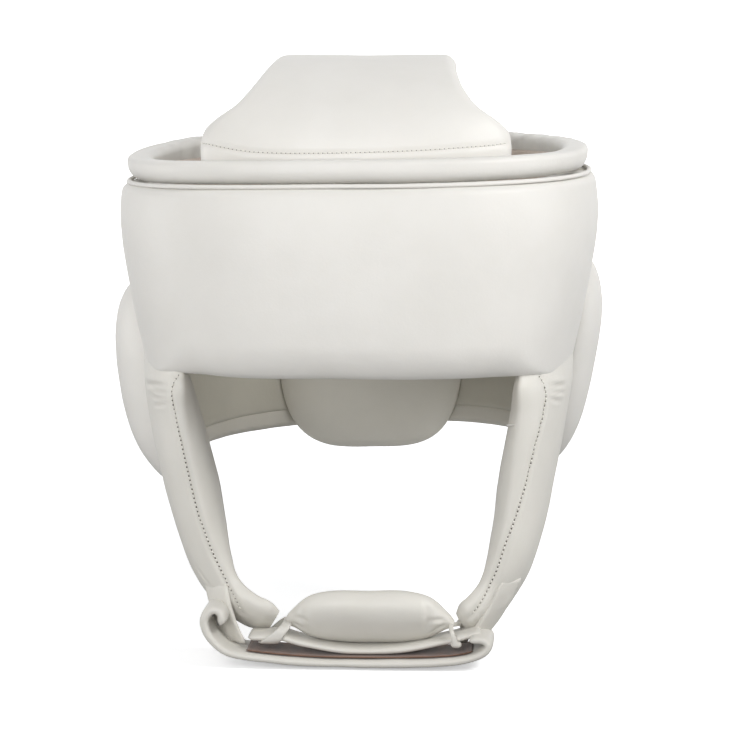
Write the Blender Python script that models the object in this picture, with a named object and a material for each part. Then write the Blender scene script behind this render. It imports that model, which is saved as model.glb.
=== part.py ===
"""A padded karate head guard of cream leather, with its chin straps closed.

Metres, +Z up. The face looks towards -Y. Left and right in the names are as seen by
someone who faces the guard, so left is -X. The origin lies on the underside of the
crown pad, where the top of the head touches it. Around the head a plan angle of 0 is
the forehead, 90 is +X and 180 is the nape.
"""
import math

import bmesh
import bpy
from mathutils import Vector

# Driving sizes of the wall that goes round the head
HALF_WIDTH = 0.118
FRONT_DEPTH = 0.118
BACK_DEPTH = 0.124
WALL_HEIGHT = 0.152
RIM_DROP = 0.0315
FRONT_POWER = 2.8
BACK_POWER = 2.15
GAP = 0.0003
SEAT_GAP = 0.0007

# Rolled rim and the welt under it
RIM_HEIGHT = 0.0110
RIM_THICKNESS = 0.0135
RIM_INSET = 0.0015
RIM_SIDE_DIP = 0.0020
RIM_REAR_RISE = 0.0045
RIM_TILT = 0.0024
PIPING_DIAMETER = 0.0026
PIPING_INSET = 0.0019

# Forehead pad, back band and its hem
FOREHEAD_HEIGHT = 0.0895
FOREHEAD_THICKNESS = 0.0230
FOREHEAD_END_DEG = 92.5
BACK_THICKNESS = 0.0140
BACK_HEIGHT = 0.1288
BACK_START_DEG = 93.0
HEM_TILT = 0.0032
HEM_HEIGHT = 0.0085
HEM_THICKNESS = 0.0120

# Side lining that shows inside the rim
LINING_THICKNESS = 0.0016
LINING_HEIGHT = 0.0300
LINING_RISE = 0.0055
LINING_START_DEG = 97.0
LINING_END_DEG = 146.0

# Crown pad
CROWN_CENTRE_X = 0.0018
CROWN_HALF_WIDTH = 0.0738
CROWN_THICKNESS = 0.0150
CROWN_TUCK = 0.0100
CROWN_TUCK_ALONG = 0.12
CROWN_WRAP_POWER = 1.5

# Ear pads
EAR_LENGTH = 0.0760
EAR_HEIGHT = 0.1140
EAR_BULGE = {"left": 0.0285, "right": 0.0165}
EAR_CENTRE_DROP = {"left": 0.1525, "right": 0.1425}
EAR_CENTRE_DEG = 112.0

# Neck pad
NECK_WIDTH = 0.1300
NECK_HEIGHT = 0.1060
NECK_THICKNESS = 0.0220
NECK_BOTTOM_DROP = 0.1955

# Cheek pads
CHEEK_LENGTH = 0.1150
CHEEK_TOP_X = 0.0882
CHEEK_TIP_X = {"left": 0.0390, "right": 0.0535}
CHEEK_TOP_Y = -0.0430
CHEEK_FORWARD = 0.0340
CHEEK_THICKNESS = 0.0180
CHEEK_DEPTH = 0.0900

# Chin pad
CHIN_CENTRE = Vector((0.0092, -0.0870, -0.2505))
CHIN_HALF_WIDTH = 0.0405
CHIN_HALF_HEIGHT = 0.0165
CHIN_HALF_THICKNESS = 0.0088
CHIN_TILT_DEG = 42.0

# Chin straps, given by their middle line
INNER_STRAP_WIDTH = 0.0220
INNER_STRAP_THICKNESS = 0.0044
OUTER_STRAP_WIDTH = 0.0340
OUTER_STRAP_THICKNESS = 0.0050
STRAP_HALF_SPAN = 0.0668
STRAP_RISE = 0.0250
STRAP_CENTRE_X = -0.0018
STRAP_Y = -0.0850
STRAP_LOW_DROP = 0.2743

# Tabs and loops
TAB_THICKNESS = 0.0022
TAB_WIDTH = 0.0170
TAB_SEAT_SHARE = {"left": 0.745, "right": 0.70}
TAB_FORWARD_SHARE = 0.30
TAB_YAW_DEG = 45.0
TAB_LENGTH = {"left": 0.0250, "right": 0.0320}
TAB_TOP = {"left": 0.86, "right": 0.79}
TAB_LEAN_DEG = {"left": 25.0, "right": 31.0}
LOOP_THICKNESS = 0.0014
LOOP_SLACK = 0.0006
LOOP_WIDTH = {"left": 0.0110, "right": 0.0040}
LOOP_X = {"left": -0.0375, "right": 0.0510}

# Fullness of the sections, from 2 for a round one upwards
RIM_POWER = 2.8
LINING_POWER = 6.0
FOREHEAD_POWER = 6.0
BACK_POWER_THROUGH = 5.0
HEM_POWER = 2.6
CROWN_POWER = 5.0
EAR_POWER = 2.5
NECK_POWER = 3.0
CHEEK_POWER = 2.7
CHIN_POWER = 2.3
STRAP_POWER = 3.1
TAB_POWER = 6.0
DOME_EDGE_POWER = 2.6
DOME_TOP_POWER = 0.62

# How far a pad's section shrinks at its ends
PAD_END_SHARES = (0.62, 0.90)
PAD_END_HEIGHT_SHARE = 0.90
STRAP_END_SHARES = (0.75,)

# Facets
AROUND_STEPS = 60
PAD_STEPS = 30
LINING_STEPS = 10
SECTION_POINTS = 16
ROUND_SECTION_POINTS = 12
CUSHION_POINTS = 24
STRAP_STEPS = 2
NARROW_SHARE = 0.45
CROWN_PLACES = (
    -0.12, -0.06, 0.0, 0.05, 0.1, 0.15, 0.2, 0.25, 0.31, 0.39, 0.5, 0.65, 0.82, 1.0,
    1.18, 1.4, 1.6, 1.75, 1.88, 2.0, 2.12,
)
CHEEK_PLACES = (
    0, 0.02, 0.07, 0.15, 0.27, 0.4, 0.52, 0.64, 0.74, 0.82, 0.88, 0.93, 0.97, 0.99, 1.0,
)
CHIN_PLACES = (-1, -0.96, -0.88, -0.76, -0.6, -0.4, -0.15, 0.15, 0.4, 0.6, 0.76, 0.88, 0.96, 1)
DOME_RINGS = (0.28, 0.54, 0.75, 0.90, 0.98, 1.0)
BASE_RINGS = (0.80, 0.40)

# The wall from the rim's top (drop 0) to the hem (drop 1), as shares of WALL_HEIGHT,
# HALF_WIDTH, FRONT_DEPTH and BACK_DEPTH
WALL_COLUMNS = ("drop", "half_width", "front", "back")
WALL_SECTIONS = (
    (0.00, 0.972, 0.925, 0.900),
    (0.08, 0.990, 0.955, 0.930),
    (0.20, 1.000, 0.985, 0.970),
    (0.45, 0.955, 1.000, 1.000),
    (0.70, 0.890, 0.985, 0.985),
    (1.00, 0.830, 0.960, 0.920),
)

# The crown pad along its arch: 0 is the front rim, 1 the crest, 2 the rear rim.
# Shares of CROWN_HALF_WIDTH and CROWN_THICKNESS
CROWN_COLUMNS = ("along", "half_width", "thickness")
CROWN_SECTIONS = (
    (-0.12, 0.985, 0.42),
    (0.00, 1.000, 0.50),
    (0.10, 0.998, 0.85),
    (0.19, 0.980, 1.00),
    (0.27, 0.905, 1.00),
    (0.36, 0.800, 1.00),
    (0.50, 0.710, 1.00),
    (0.70, 0.645, 1.00),
    (1.00, 0.610, 1.00),
    (1.40, 0.600, 1.00),
    (1.75, 0.660, 1.00),
    (2.00, 0.720, 0.50),
    (2.12, 0.720, 0.42),
)

# The cheek pads from the forehead pad (drop 0) to the chin (drop 1). inward_left and
# inward_right are shares of the way from CHEEK_TOP_X to CHEEK_TIP_X, forward of
# CHEEK_FORWARD, thickness and depth of the sizes of that name; yaw and lean are degrees
CHEEK_COLUMNS = ("drop", "inward_left", "inward_right", "forward", "thickness", "depth", "yaw", "lean")
CHEEK_SECTIONS = (
    (0.00, 0.00, 0.00, 0.00, 0.95, 0.97, 12, 0),
    (0.05, 0.02, 0.02, 0.07, 1.02, 0.97, 12, 3),
    (0.15, 0.05, 0.06, 0.20, 1.10, 0.84, 12, 6),
    (0.40, 0.18, 0.19, 0.47, 1.22, 0.60, 14, 12),
    (0.65, 0.33, 0.33, 0.66, 1.14, 0.47, 17, 18),
    (0.78, 0.43, 0.44, 0.76, 0.94, 0.40, 21, 26),
    (0.87, 0.56, 0.60, 0.84, 0.64, 0.33, 26, 38),
    (0.95, 0.78, 0.82, 0.94, 0.54, 0.29, 31, 48),
    (0.985, 0.94, 0.95, 0.98, 0.42, 0.24, 34, 53),
    (1.00, 1.00, 1.00, 1.00, 0.20, 0.12, 35, 55),
)
CHEEK_BOW = 0.08

# The chin pad from its -X point to its +X point, as shares of CHIN_HALF_HEIGHT and
# CHIN_HALF_THICKNESS
CHIN_COLUMNS = ("along", "height", "thickness", "lift")
CHIN_SECTIONS = (
    (-1.00, 0.10, 0.20, 0.16),
    (-0.90, 0.30, 0.40, 0.16),
    (-0.75, 0.64, 0.72, 0.08),
    (-0.55, 0.90, 0.95, 0.02),
    (0.00, 1.00, 1.00, 0.00),
    (0.50, 0.95, 0.98, 0.02),
    (0.72, 0.72, 0.80, 0.03),
    (0.88, 0.34, 0.45, 0.02),
    (1.00, 0.10, 0.20, 0.00),
)

# The straps from the -X end to the +X end, as shares of STRAP_HALF_SPAN and STRAP_RISE
# above STRAP_LOW_DROP
STRAP_COLUMNS = ("across", "rise")
OUTER_STRAP_LINE = (
    (-0.985, 1.00),
    (-1.01, 1.02),
    (-1.035, 0.92),
    (-1.03, 0.66),
    (-0.96, 0.41),
    (-0.82, 0.25),
    (-0.58, 0.19),
    (-0.25, 0.12),
    (0.10, 0.10),
    (0.45, 0.10),
    (0.72, 0.16),
    (0.90, 0.28),
    (1.00, 0.46),
)
INNER_STRAP_LINE = (
    (-0.710, 0.565),
    (-0.62, 0.56),
    (-0.47, 0.54),
    (-0.28, 0.43),
    (0.00, 0.31),
    (0.35, 0.31),
    (0.64, 0.45),
    (0.80, 0.55),
    (0.922, 0.595),
)


def column(rows, names, name, at):
    """The smooth value of a named column where the first column equals at."""
    index = names.index(name)
    places = [row[0] for row in rows]
    values = [row[index] for row in rows]
    steps = [
        (values[i + 1] - values[i]) / (places[i + 1] - places[i])
        for i in range(len(rows) - 1)
    ]
    slopes = [steps[0]]
    slopes += [(steps[i] + steps[i + 1]) / 2 for i in range(len(steps) - 1)]
    slopes += [steps[-1]]
    if at <= places[0]:
        return values[0] + slopes[0] * (at - places[0])
    if at >= places[-1]:
        return values[-1] + slopes[-1] * (at - places[-1])
    i = max(k for k in range(len(rows) - 1) if places[k] <= at)
    span = places[i + 1] - places[i]
    t = (at - places[i]) / span
    return (
        (2 * t ** 3 - 3 * t ** 2 + 1) * values[i]
        + (t ** 3 - 2 * t ** 2 + t) * span * slopes[i]
        + (3 * t ** 2 - 2 * t ** 3) * values[i + 1]
        + (t ** 3 - t ** 2) * span * slopes[i + 1]
    )


def signed_power(value, power):
    return math.copysign(abs(value) ** power, value)


def oval(count, half_u, half_v, power):
    """A closed superellipse of count points as (u, v) pairs, spaced so that the flat
    sides and the round corners both get some. count is a multiple of four."""
    fine = 360
    quarter = []
    for i in range(fine + 1):
        turn = math.pi / 2 * i / fine
        quarter.append((math.cos(turn) ** (2 / power), math.sin(turn) ** (2 / power)))
    quarter[-1] = (0.0, 1.0)
    narrow = min(1.0, max(NARROW_SHARE, half_u / half_v))
    shallow = min(1.0, max(NARROW_SHARE, half_v / half_u))
    run = [0.0]
    for (u0, v0), (u1, v1) in zip(quarter, quarter[1:]):
        run.append(run[-1] + math.hypot((u1 - u0) * narrow, (v1 - v0) * shallow))
    points = []
    for k in range(count // 4):
        goal = run[-1] * k / (count // 4)
        points.append(quarter[min(range(fine + 1), key=lambda i: abs(run[i] - goal))])
    unit = points + [(0.0, 1.0)] + [(-u, v) for u, v in reversed(points[1:])]
    unit += [(-u, -v) for u, v in unit[: count // 2]]
    return [(half_u * u, half_v * v) for u, v in unit]


def plan_point(degrees, z):
    """The wall's outer face at a plan angle and a height."""
    drop = (-RIM_DROP - z) / WALL_HEIGHT
    turn = math.radians(degrees)
    ahead = math.cos(turn) >= 0
    power = FRONT_POWER if ahead else BACK_POWER
    depth = FRONT_DEPTH if ahead else BACK_DEPTH
    half_width = HALF_WIDTH * column(WALL_SECTIONS, WALL_COLUMNS, "half_width", drop)
    depth *= column(WALL_SECTIONS, WALL_COLUMNS, "front" if ahead else "back", drop)
    x = half_width * signed_power(math.sin(turn), 2 / power)
    y = -depth * signed_power(math.cos(turn), 2 / power)
    return Vector((x, y, z))


def wall_point(degrees, z, inset):
    """A point inset from the wall's outer face, towards the head."""
    step = 1.0
    along = plan_point(degrees + step, z) - plan_point(degrees - step, z)
    outward = Vector((along.y, -along.x, 0)).normalized()
    return plan_point(degrees, z) - outward * inset


def span(start, end, steps):
    return [start + (end - start) * i / steps for i in range(steps + 1)]


def leather(name, colour, roughness):
    material = bpy.data.materials.new(name)
    material.use_nodes = True
    shader = material.node_tree.nodes["Principled BSDF"]
    shader.inputs["Base Color"].default_value = (*colour, 1)
    shader.inputs["Roughness"].default_value = roughness
    shader.inputs["Metallic"].default_value = 0
    return material


def solid(name, points, faces, material):
    """One closed, smooth shaded body from points and faces."""
    mesh = bpy.data.meshes.new(name)
    mesh.from_pydata([tuple(p) for p in points], [], faces)
    body = bmesh.new()
    body.from_mesh(mesh)
    bmesh.ops.recalc_face_normals(body, faces=body.faces)
    if body.calc_volume(signed=True) < 0:
        bmesh.ops.reverse_faces(body, faces=body.faces)
    body.to_mesh(mesh)
    body.free()
    mesh.shade_smooth()
    mesh.set_sharp_from_angle(angle=math.radians(50))
    mesh.materials.append(material)
    piece = bpy.data.objects.new(name, mesh)
    bpy.context.collection.objects.link(piece)
    return piece


def loft(name, rings, material, closed=False):
    """Joins rings of equally many points. Open ends are capped with strips across."""
    count = len(rings[0])
    points = [p for ring in rings for p in ring]
    faces = []
    last = len(rings) if closed else len(rings) - 1
    for i in range(last):
        here = i * count
        there = ((i + 1) % len(rings)) * count
        for k in range(count):
            after = (k + 1) % count
            faces.append((here + k, here + after, there + after, there + k))
    if not closed:
        half = count // 2
        for base in (0, (len(rings) - 1) * count):
            faces.append((base, base + 1, base + count - 1))
            faces += [
                (base + k, base + k + 1, base + count - k - 1, base + count - k)
                for k in range(1, half - 1)
            ]
            faces.append((base + half - 1, base + half, base + half + 1))
    return solid(name, points, faces, material)


def end_round(index, last, shares):
    """How far a section is shrunk near either end of a pad."""
    near = min(index, last - index)
    return shares[near] if near < len(shares) else 1.0


def band(
    name, angles, inset, thickness, top, bottom, power, material,
    closed=False, count=SECTION_POINTS,
):
    """A padded band round the wall. top and bottom give its heights at a plan angle."""
    rings = []
    for index, degrees in enumerate(angles):
        size = 1.0 if closed else end_round(index, len(angles) - 1, PAD_END_SHARES)
        height_share = PAD_END_HEIGHT_SHARE + (1 - PAD_END_HEIGHT_SHARE) * size
        high = top(degrees)
        low = bottom(degrees)
        middle = (high + low) / 2
        ring = []
        for u, v in oval(count, thickness / 2 * size, (high - low) / 2, power):
            ring.append(wall_point(degrees, middle + v * height_share, inset + thickness / 2 - u))
        rings.append(ring)
    return loft(name, rings, material, closed)


def cushion(name, centre_deg, centre_z, length, height, inset, bulge, power, material):
    """A domed pad on the wall: its base lies inset from the outer face, and it bulges
    outwards, or towards the head where bulge is negative."""
    count = CUSHION_POINTS

    def point(share, u, v, rise):
        degrees = centre_deg + math.degrees(share * u / HALF_WIDTH)
        return wall_point(degrees, centre_z + share * v, inset - rise)

    outline = oval(count, length / 2, height / 2, power)
    points = [point(0, 0, 0, bulge)]
    for share in DOME_RINGS:
        rise = bulge * (1 - share ** DOME_EDGE_POWER) ** DOME_TOP_POWER
        points += [point(share, u, v, rise) for u, v in outline]
    for share in BASE_RINGS:
        points += [point(share, u, v, 0) for u, v in outline]
    points.append(point(0, 0, 0, 0))
    faces = [(0, 1 + k, 1 + (k + 1) % count) for k in range(count)]
    last = len(DOME_RINGS) + len(BASE_RINGS) - 1
    for ring in range(last):
        here = 1 + ring * count
        there = here + count
        for k in range(count):
            after = (k + 1) % count
            faces.append((here + k, there + k, there + after, here + after))
    final = 1 + last * count
    faces += [(final + k, len(points) - 1, final + (k + 1) % count) for k in range(count)]
    return solid(name, points, faces, material)


def rim_tilt(degrees):
    return RIM_TILT * math.sin(math.radians(degrees))


def rim_top(degrees):
    side = math.sin(math.radians(degrees)) ** 2
    rear = (1 - math.cos(math.radians(degrees))) / 2
    return -RIM_DROP + rim_tilt(degrees) - RIM_SIDE_DIP * side + RIM_REAR_RISE * rear


def rim_bottom(degrees):
    return -RIM_DROP - RIM_HEIGHT + rim_tilt(degrees)


def pad_top(degrees):
    return rim_bottom(degrees) - PIPING_DIAMETER / 2 - 2 * GAP


def forehead_bottom(degrees):
    return -RIM_DROP - RIM_HEIGHT - PIPING_DIAMETER - FOREHEAD_HEIGHT


def back_bottom(degrees):
    tilt = HEM_TILT * math.sin(math.radians(degrees))
    return -RIM_DROP - RIM_HEIGHT - PIPING_DIAMETER - BACK_HEIGHT + tilt


def make_rim(material):
    angles = [360 * i / AROUND_STEPS for i in range(AROUND_STEPS)]
    band(
        "top_rim", angles, RIM_INSET, RIM_THICKNESS, rim_top, rim_bottom, RIM_POWER, material,
        closed=True, count=ROUND_SECTION_POINTS,
    )
    rings = []
    radius = PIPING_DIAMETER / 2
    for degrees in angles:
        z = rim_bottom(degrees) - radius / 2 - GAP
        rings.append([
            wall_point(degrees, z + v, PIPING_INSET + radius + u)
            for u, v in oval(8, radius, radius, 2)
        ])
    loft("rim_piping", rings, material, closed=True)


def make_forehead(material):
    angles = span(-FOREHEAD_END_DEG, FOREHEAD_END_DEG, PAD_STEPS)
    band(
        "forehead_pad", angles, 0, FOREHEAD_THICKNESS, pad_top, forehead_bottom,
        FOREHEAD_POWER, material,
    )


def make_back(material):
    angles = span(BACK_START_DEG, 360 - BACK_START_DEG, PAD_STEPS)
    band(
        "back_band", angles, 0, BACK_THICKNESS, pad_top, back_bottom,
        BACK_POWER_THROUGH, material,
    )
    inset = (BACK_THICKNESS - HEM_THICKNESS) / 2
    band(
        "back_hem", angles, inset, HEM_THICKNESS,
        lambda degrees: back_bottom(degrees) - GAP,
        lambda degrees: back_bottom(degrees) - GAP - HEM_HEIGHT,
        HEM_POWER, material,
    )


def make_linings(material):
    inset = RIM_INSET + RIM_THICKNESS + GAP
    for side, sign in (("left", -1), ("right", 1)):
        angles = span(sign * LINING_START_DEG, sign * LINING_END_DEG, LINING_STEPS)
        band(
            f"side_lining_{side}", angles, inset, LINING_THICKNESS,
            lambda degrees: rim_bottom(degrees) + LINING_RISE,
            lambda degrees: rim_bottom(degrees) + LINING_RISE - LINING_HEIGHT,
            LINING_POWER, material,
        )


def rim_inner_y(x, rear):
    """Where the inner face of the rim lies at a distance across the head."""
    inset = RIM_INSET + RIM_THICKNESS + 2 * SEAT_GAP
    z = -RIM_DROP - RIM_HEIGHT * 0.25
    low, high = (90.0, 180.0) if rear else (0.0, 90.0)
    for _ in range(30):
        middle = (low + high) / 2
        beyond = wall_point(middle, z, inset).x > abs(x)
        if beyond == rear:
            low = middle
        else:
            high = middle
    return wall_point(middle, z, inset).y


def crown_point(along, x, depth):
    """A point of the crown pad: along its arch, across the head, under its outer face."""
    rear = along > 1
    turn = math.radians(90 * min(max(along, 0), 2))
    middle_y = rim_inner_y(0, rear)
    wrap = rim_inner_y(x, rear) - middle_y
    reach = abs(middle_y) - depth
    below = max(0, -along, along - 2) * CROWN_TUCK / CROWN_TUCK_ALONG
    y = -reach * math.cos(turn) + wrap * abs(math.cos(turn)) ** CROWN_WRAP_POWER
    z = -RIM_DROP + (RIM_DROP + CROWN_THICKNESS - depth) * math.sin(turn) - below
    return Vector((x, y, z))


def make_crown(material):
    rings = []
    for along in CROWN_PLACES:
        half_width = CROWN_HALF_WIDTH * column(CROWN_SECTIONS, CROWN_COLUMNS, "half_width", along)
        thickness = CROWN_THICKNESS * column(CROWN_SECTIONS, CROWN_COLUMNS, "thickness", along)
        ring = []
        for u, v in oval(20, half_width, thickness / 2, CROWN_POWER):
            ring.append(crown_point(along, CROWN_CENTRE_X + u, thickness / 2 - v))
        rings.append(ring)
    loft("crown_pad", rings, material)


def make_ears(material):
    for side, sign in (("left", -1), ("right", 1)):
        cushion(
            f"ear_pad_{side}", sign * EAR_CENTRE_DEG, -EAR_CENTRE_DROP[side],
            EAR_LENGTH, EAR_HEIGHT, -SEAT_GAP, EAR_BULGE[side], EAR_POWER, material,
        )


def make_neck_pad(material):
    centre_z = -NECK_BOTTOM_DROP + NECK_HEIGHT / 2
    cushion(
        "neck_pad", 180, centre_z, NECK_WIDTH, NECK_HEIGHT,
        BACK_THICKNESS + SEAT_GAP, -NECK_THICKNESS, NECK_POWER, material,
    )


def cheek_frame(side, drop):
    """Middle, outward axis and lengthwise axis of a cheek pad's section."""
    sign = -1 if side == "left" else 1

    def share(name):
        return column(CHEEK_SECTIONS, CHEEK_COLUMNS, name, drop)

    x = CHEEK_TOP_X + (CHEEK_TIP_X[side] - CHEEK_TOP_X) * share(f"inward_{side}")
    y = CHEEK_TOP_Y - CHEEK_FORWARD * share("forward")
    z = forehead_bottom(0) - GAP - drop * CHEEK_LENGTH
    lean = math.radians(share("lean"))
    yaw = math.radians(share("yaw"))
    across = Vector((sign * math.cos(lean), 0, -math.sin(lean)))
    rearward = Vector((0, 1, 0))
    long_axis = rearward * math.cos(yaw) + across * math.sin(yaw)
    thin_axis = across * math.cos(yaw) - rearward * math.sin(yaw)
    return Vector((sign * x, y, z)), thin_axis, long_axis


def make_cheeks(material):
    for side in ("left", "right"):
        rings = []
        for drop in CHEEK_PLACES:
            middle, thin_axis, long_axis = cheek_frame(side, drop)
            thickness = CHEEK_THICKNESS * column(CHEEK_SECTIONS, CHEEK_COLUMNS, "thickness", drop)
            depth = CHEEK_DEPTH * column(CHEEK_SECTIONS, CHEEK_COLUMNS, "depth", drop)
            ring = []
            for u, v in oval(SECTION_POINTS, depth / 2, thickness / 2, CHEEK_POWER):
                bow = CHEEK_BOW * depth * (1 - (2 * u / depth) ** 2)
                ring.append(middle + long_axis * u + thin_axis * (v + bow))
            rings.append(ring)
        loft(f"cheek_pad_{side}", rings, material)


def make_chin_pad(material):
    tilt = math.radians(CHIN_TILT_DEG)
    high_axis = Vector((0, -math.cos(tilt), math.sin(tilt)))
    thin_axis = Vector((0, -math.sin(tilt), -math.cos(tilt)))
    rings = []
    for along in CHIN_PLACES:
        height = CHIN_HALF_HEIGHT * column(CHIN_SECTIONS, CHIN_COLUMNS, "height", along)
        thickness = CHIN_HALF_THICKNESS * column(CHIN_SECTIONS, CHIN_COLUMNS, "thickness", along)
        lift = CHIN_HALF_HEIGHT * column(CHIN_SECTIONS, CHIN_COLUMNS, "lift", along)
        middle = CHIN_CENTRE + Vector((along * CHIN_HALF_WIDTH, 0, lift))
        rings.append([
            middle + high_axis * u + thin_axis * v
            for u, v in oval(ROUND_SECTION_POINTS, height, thickness, CHIN_POWER)
        ])
    loft("chin_pad", rings, material)


def smooth_line(points, per_span):
    """Points along a smooth curve through the given points."""
    line = []
    for i in range(len(points) - 1):
        before = points[max(i - 1, 0)]
        start, end = points[i], points[i + 1]
        after = points[min(i + 2, len(points) - 1)]
        for k in range(per_span):
            t = k / per_span
            line.append(
                start
                + (end - before) * (0.5 * t)
                + (2 * before - 5 * start + 4 * end - after) * (0.5 * t * t)
                + (3 * start - before - 3 * end + after) * (0.5 * t ** 3)
            )
    line.append(points[-1])
    return line


def strap_line(rows):
    """The middle line of a chin strap from its table."""
    places = [dict(zip(STRAP_COLUMNS, row)) for row in rows]
    corners = [
        Vector((
            STRAP_CENTRE_X + place["across"] * STRAP_HALF_SPAN,
            STRAP_Y,
            -STRAP_LOW_DROP + place["rise"] * STRAP_RISE,
        ))
        for place in places
    ]
    return smooth_line(corners, STRAP_STEPS)


def strap(name, line, width, thickness, power, material, wide_axis=Vector((0, 1, 0))):
    """A flat padded strap swept along a line, its width along wide_axis."""
    rings = []
    for i, middle in enumerate(line):
        along = (line[min(i + 1, len(line) - 1)] - line[max(i - 1, 0)]).normalized()
        thin_axis = along.cross(wide_axis).normalized()
        size = end_round(i, len(line) - 1, STRAP_END_SHARES)
        rings.append([
            middle + wide_axis * u * size + thin_axis * v * size
            for u, v in oval(ROUND_SECTION_POINTS, width / 2, thickness / 2, power)
        ])
    return loft(name, rings, material)


def make_straps(material):
    strap(
        "outer_chin_strap", strap_line(OUTER_STRAP_LINE), OUTER_STRAP_WIDTH,
        OUTER_STRAP_THICKNESS, STRAP_POWER, material,
    )
    strap(
        "inner_chin_strap", strap_line(INNER_STRAP_LINE), INNER_STRAP_WIDTH,
        INNER_STRAP_THICKNESS, STRAP_POWER, material,
    )


def make_tabs(material):
    """Closing tabs on the outer faces of the cheek pads' lower ends."""
    for side in ("left", "right"):
        drop = TAB_TOP[side]
        start, thin_axis, long_axis = cheek_frame(side, drop)
        thickness = CHEEK_THICKNESS * column(CHEEK_SECTIONS, CHEEK_COLUMNS, "thickness", drop)
        depth = CHEEK_DEPTH * column(CHEEK_SECTIONS, CHEEK_COLUMNS, "depth", drop)
        seat = TAB_SEAT_SHARE[side] * thickness / 2 + CHEEK_BOW * depth + GAP + TAB_THICKNESS / 2
        inward = 1 if side == "left" else -1
        lean = math.radians(TAB_LEAN_DEG[side])
        down = Vector((inward * math.sin(lean), 0, -math.cos(lean)))
        yaw = math.radians(TAB_YAW_DEG)
        wide_axis = Vector((-inward * math.sin(yaw), math.cos(yaw), 0))
        middle = start + thin_axis * seat - long_axis * depth * TAB_FORWARD_SHARE
        line = [middle + down * TAB_LENGTH[side] * share for share in (0, 0.33, 0.66, 1.0)]
        strap(
            f"closure_tab_{side}", line, TAB_WIDTH, TAB_THICKNESS, TAB_POWER, material,
            wide_axis=wide_axis,
        )


def make_loops(material):
    """Leather loops that hold the chin pad's points to the inner strap."""
    inner = strap_line(INNER_STRAP_LINE)

    def strap_middle(x):
        before, after = next((a, b) for a, b in zip(inner, inner[1:]) if a.x <= x <= b.x)
        return before.lerp(after, (x - before.x) / (after.x - before.x))

    for side in ("left", "right"):
        half_depth = INNER_STRAP_WIDTH / 2 + LOOP_SLACK
        half_height = INNER_STRAP_THICKNESS / 2 + LOOP_SLACK
        rings = []
        outer = oval(
            SECTION_POINTS, half_depth + LOOP_THICKNESS, half_height + LOOP_THICKNESS, STRAP_POWER,
        )
        inner_line = oval(SECTION_POINTS, half_depth, half_height, STRAP_POWER)
        half_width = LOOP_WIDTH[side] / 2
        low_end = strap_middle(LOOP_X[side] - half_width)
        high_end = strap_middle(LOOP_X[side] + half_width)
        for (y_out, z_out), (y_in, z_in) in zip(outer, inner_line):
            rings.append([
                low_end + Vector((0, y_out, z_out)),
                high_end + Vector((0, y_out, z_out)),
                high_end + Vector((0, y_in, z_in)),
                low_end + Vector((0, y_in, z_in)),
            ])
        loft(f"chin_loop_{side}", rings, material, closed=True)


def build():
    for old in list(bpy.data.objects):
        bpy.data.objects.remove(old, do_unlink=True)
    pad = leather("pad_leather", (0.80, 0.78, 0.74), 0.45)
    strap_leather = leather("strap_leather", (0.76, 0.74, 0.70), 0.50)
    lining = leather("lining_cloth", (0.62, 0.55, 0.46), 0.85)
    make_rim(pad)
    make_forehead(pad)
    make_back(pad)
    make_linings(lining)
    make_crown(pad)
    make_ears(pad)
    make_neck_pad(pad)
    make_cheeks(pad)
    make_chin_pad(pad)
    make_straps(strap_leather)
    make_tabs(strap_leather)
    make_loops(strap_leather)


build()
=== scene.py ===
"""A padded karate head guard of cream leather, standing on its closed chin strap.

Left and right are as seen from the front. Metres, +Z up, face towards -Y. Round the head
a plan angle of 0 is the forehead, 90 is +X and 180 is the nape.
"""

import math

import bmesh
import bpy
import numpy as np
from mathutils import Matrix, Vector, noise
from mathutils.bvhtree import BVHTree


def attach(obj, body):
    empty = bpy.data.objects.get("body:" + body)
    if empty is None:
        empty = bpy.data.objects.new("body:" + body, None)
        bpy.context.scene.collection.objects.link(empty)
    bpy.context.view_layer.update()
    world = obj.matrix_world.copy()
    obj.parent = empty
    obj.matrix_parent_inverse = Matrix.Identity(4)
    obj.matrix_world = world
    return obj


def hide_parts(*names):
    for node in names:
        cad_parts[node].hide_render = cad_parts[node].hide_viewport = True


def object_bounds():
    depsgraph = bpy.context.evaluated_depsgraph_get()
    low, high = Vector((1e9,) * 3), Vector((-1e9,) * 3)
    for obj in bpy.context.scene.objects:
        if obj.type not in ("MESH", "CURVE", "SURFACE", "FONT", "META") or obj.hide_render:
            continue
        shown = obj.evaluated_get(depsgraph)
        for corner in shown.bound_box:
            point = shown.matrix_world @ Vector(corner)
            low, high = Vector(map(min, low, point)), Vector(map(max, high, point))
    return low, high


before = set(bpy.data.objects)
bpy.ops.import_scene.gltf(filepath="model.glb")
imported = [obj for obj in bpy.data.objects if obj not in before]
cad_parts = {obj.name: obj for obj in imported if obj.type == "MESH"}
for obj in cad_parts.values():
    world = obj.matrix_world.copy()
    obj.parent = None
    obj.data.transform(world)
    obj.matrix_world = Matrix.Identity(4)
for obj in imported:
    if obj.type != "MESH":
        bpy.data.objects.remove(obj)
cad_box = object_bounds()

# Camera: where it stands round the object, and what it looks at
CAMERA_AZIMUTH = 3.5
CAMERA_ELEVATION = 7.0
CAMERA_DISTANCE = 1.607
CAMERA_TARGET = (0.0065, 0.0, -0.1451)
LENS_MM = 153.6
SENSOR_MM = 36.0
FRAME_PX = 750

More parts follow.
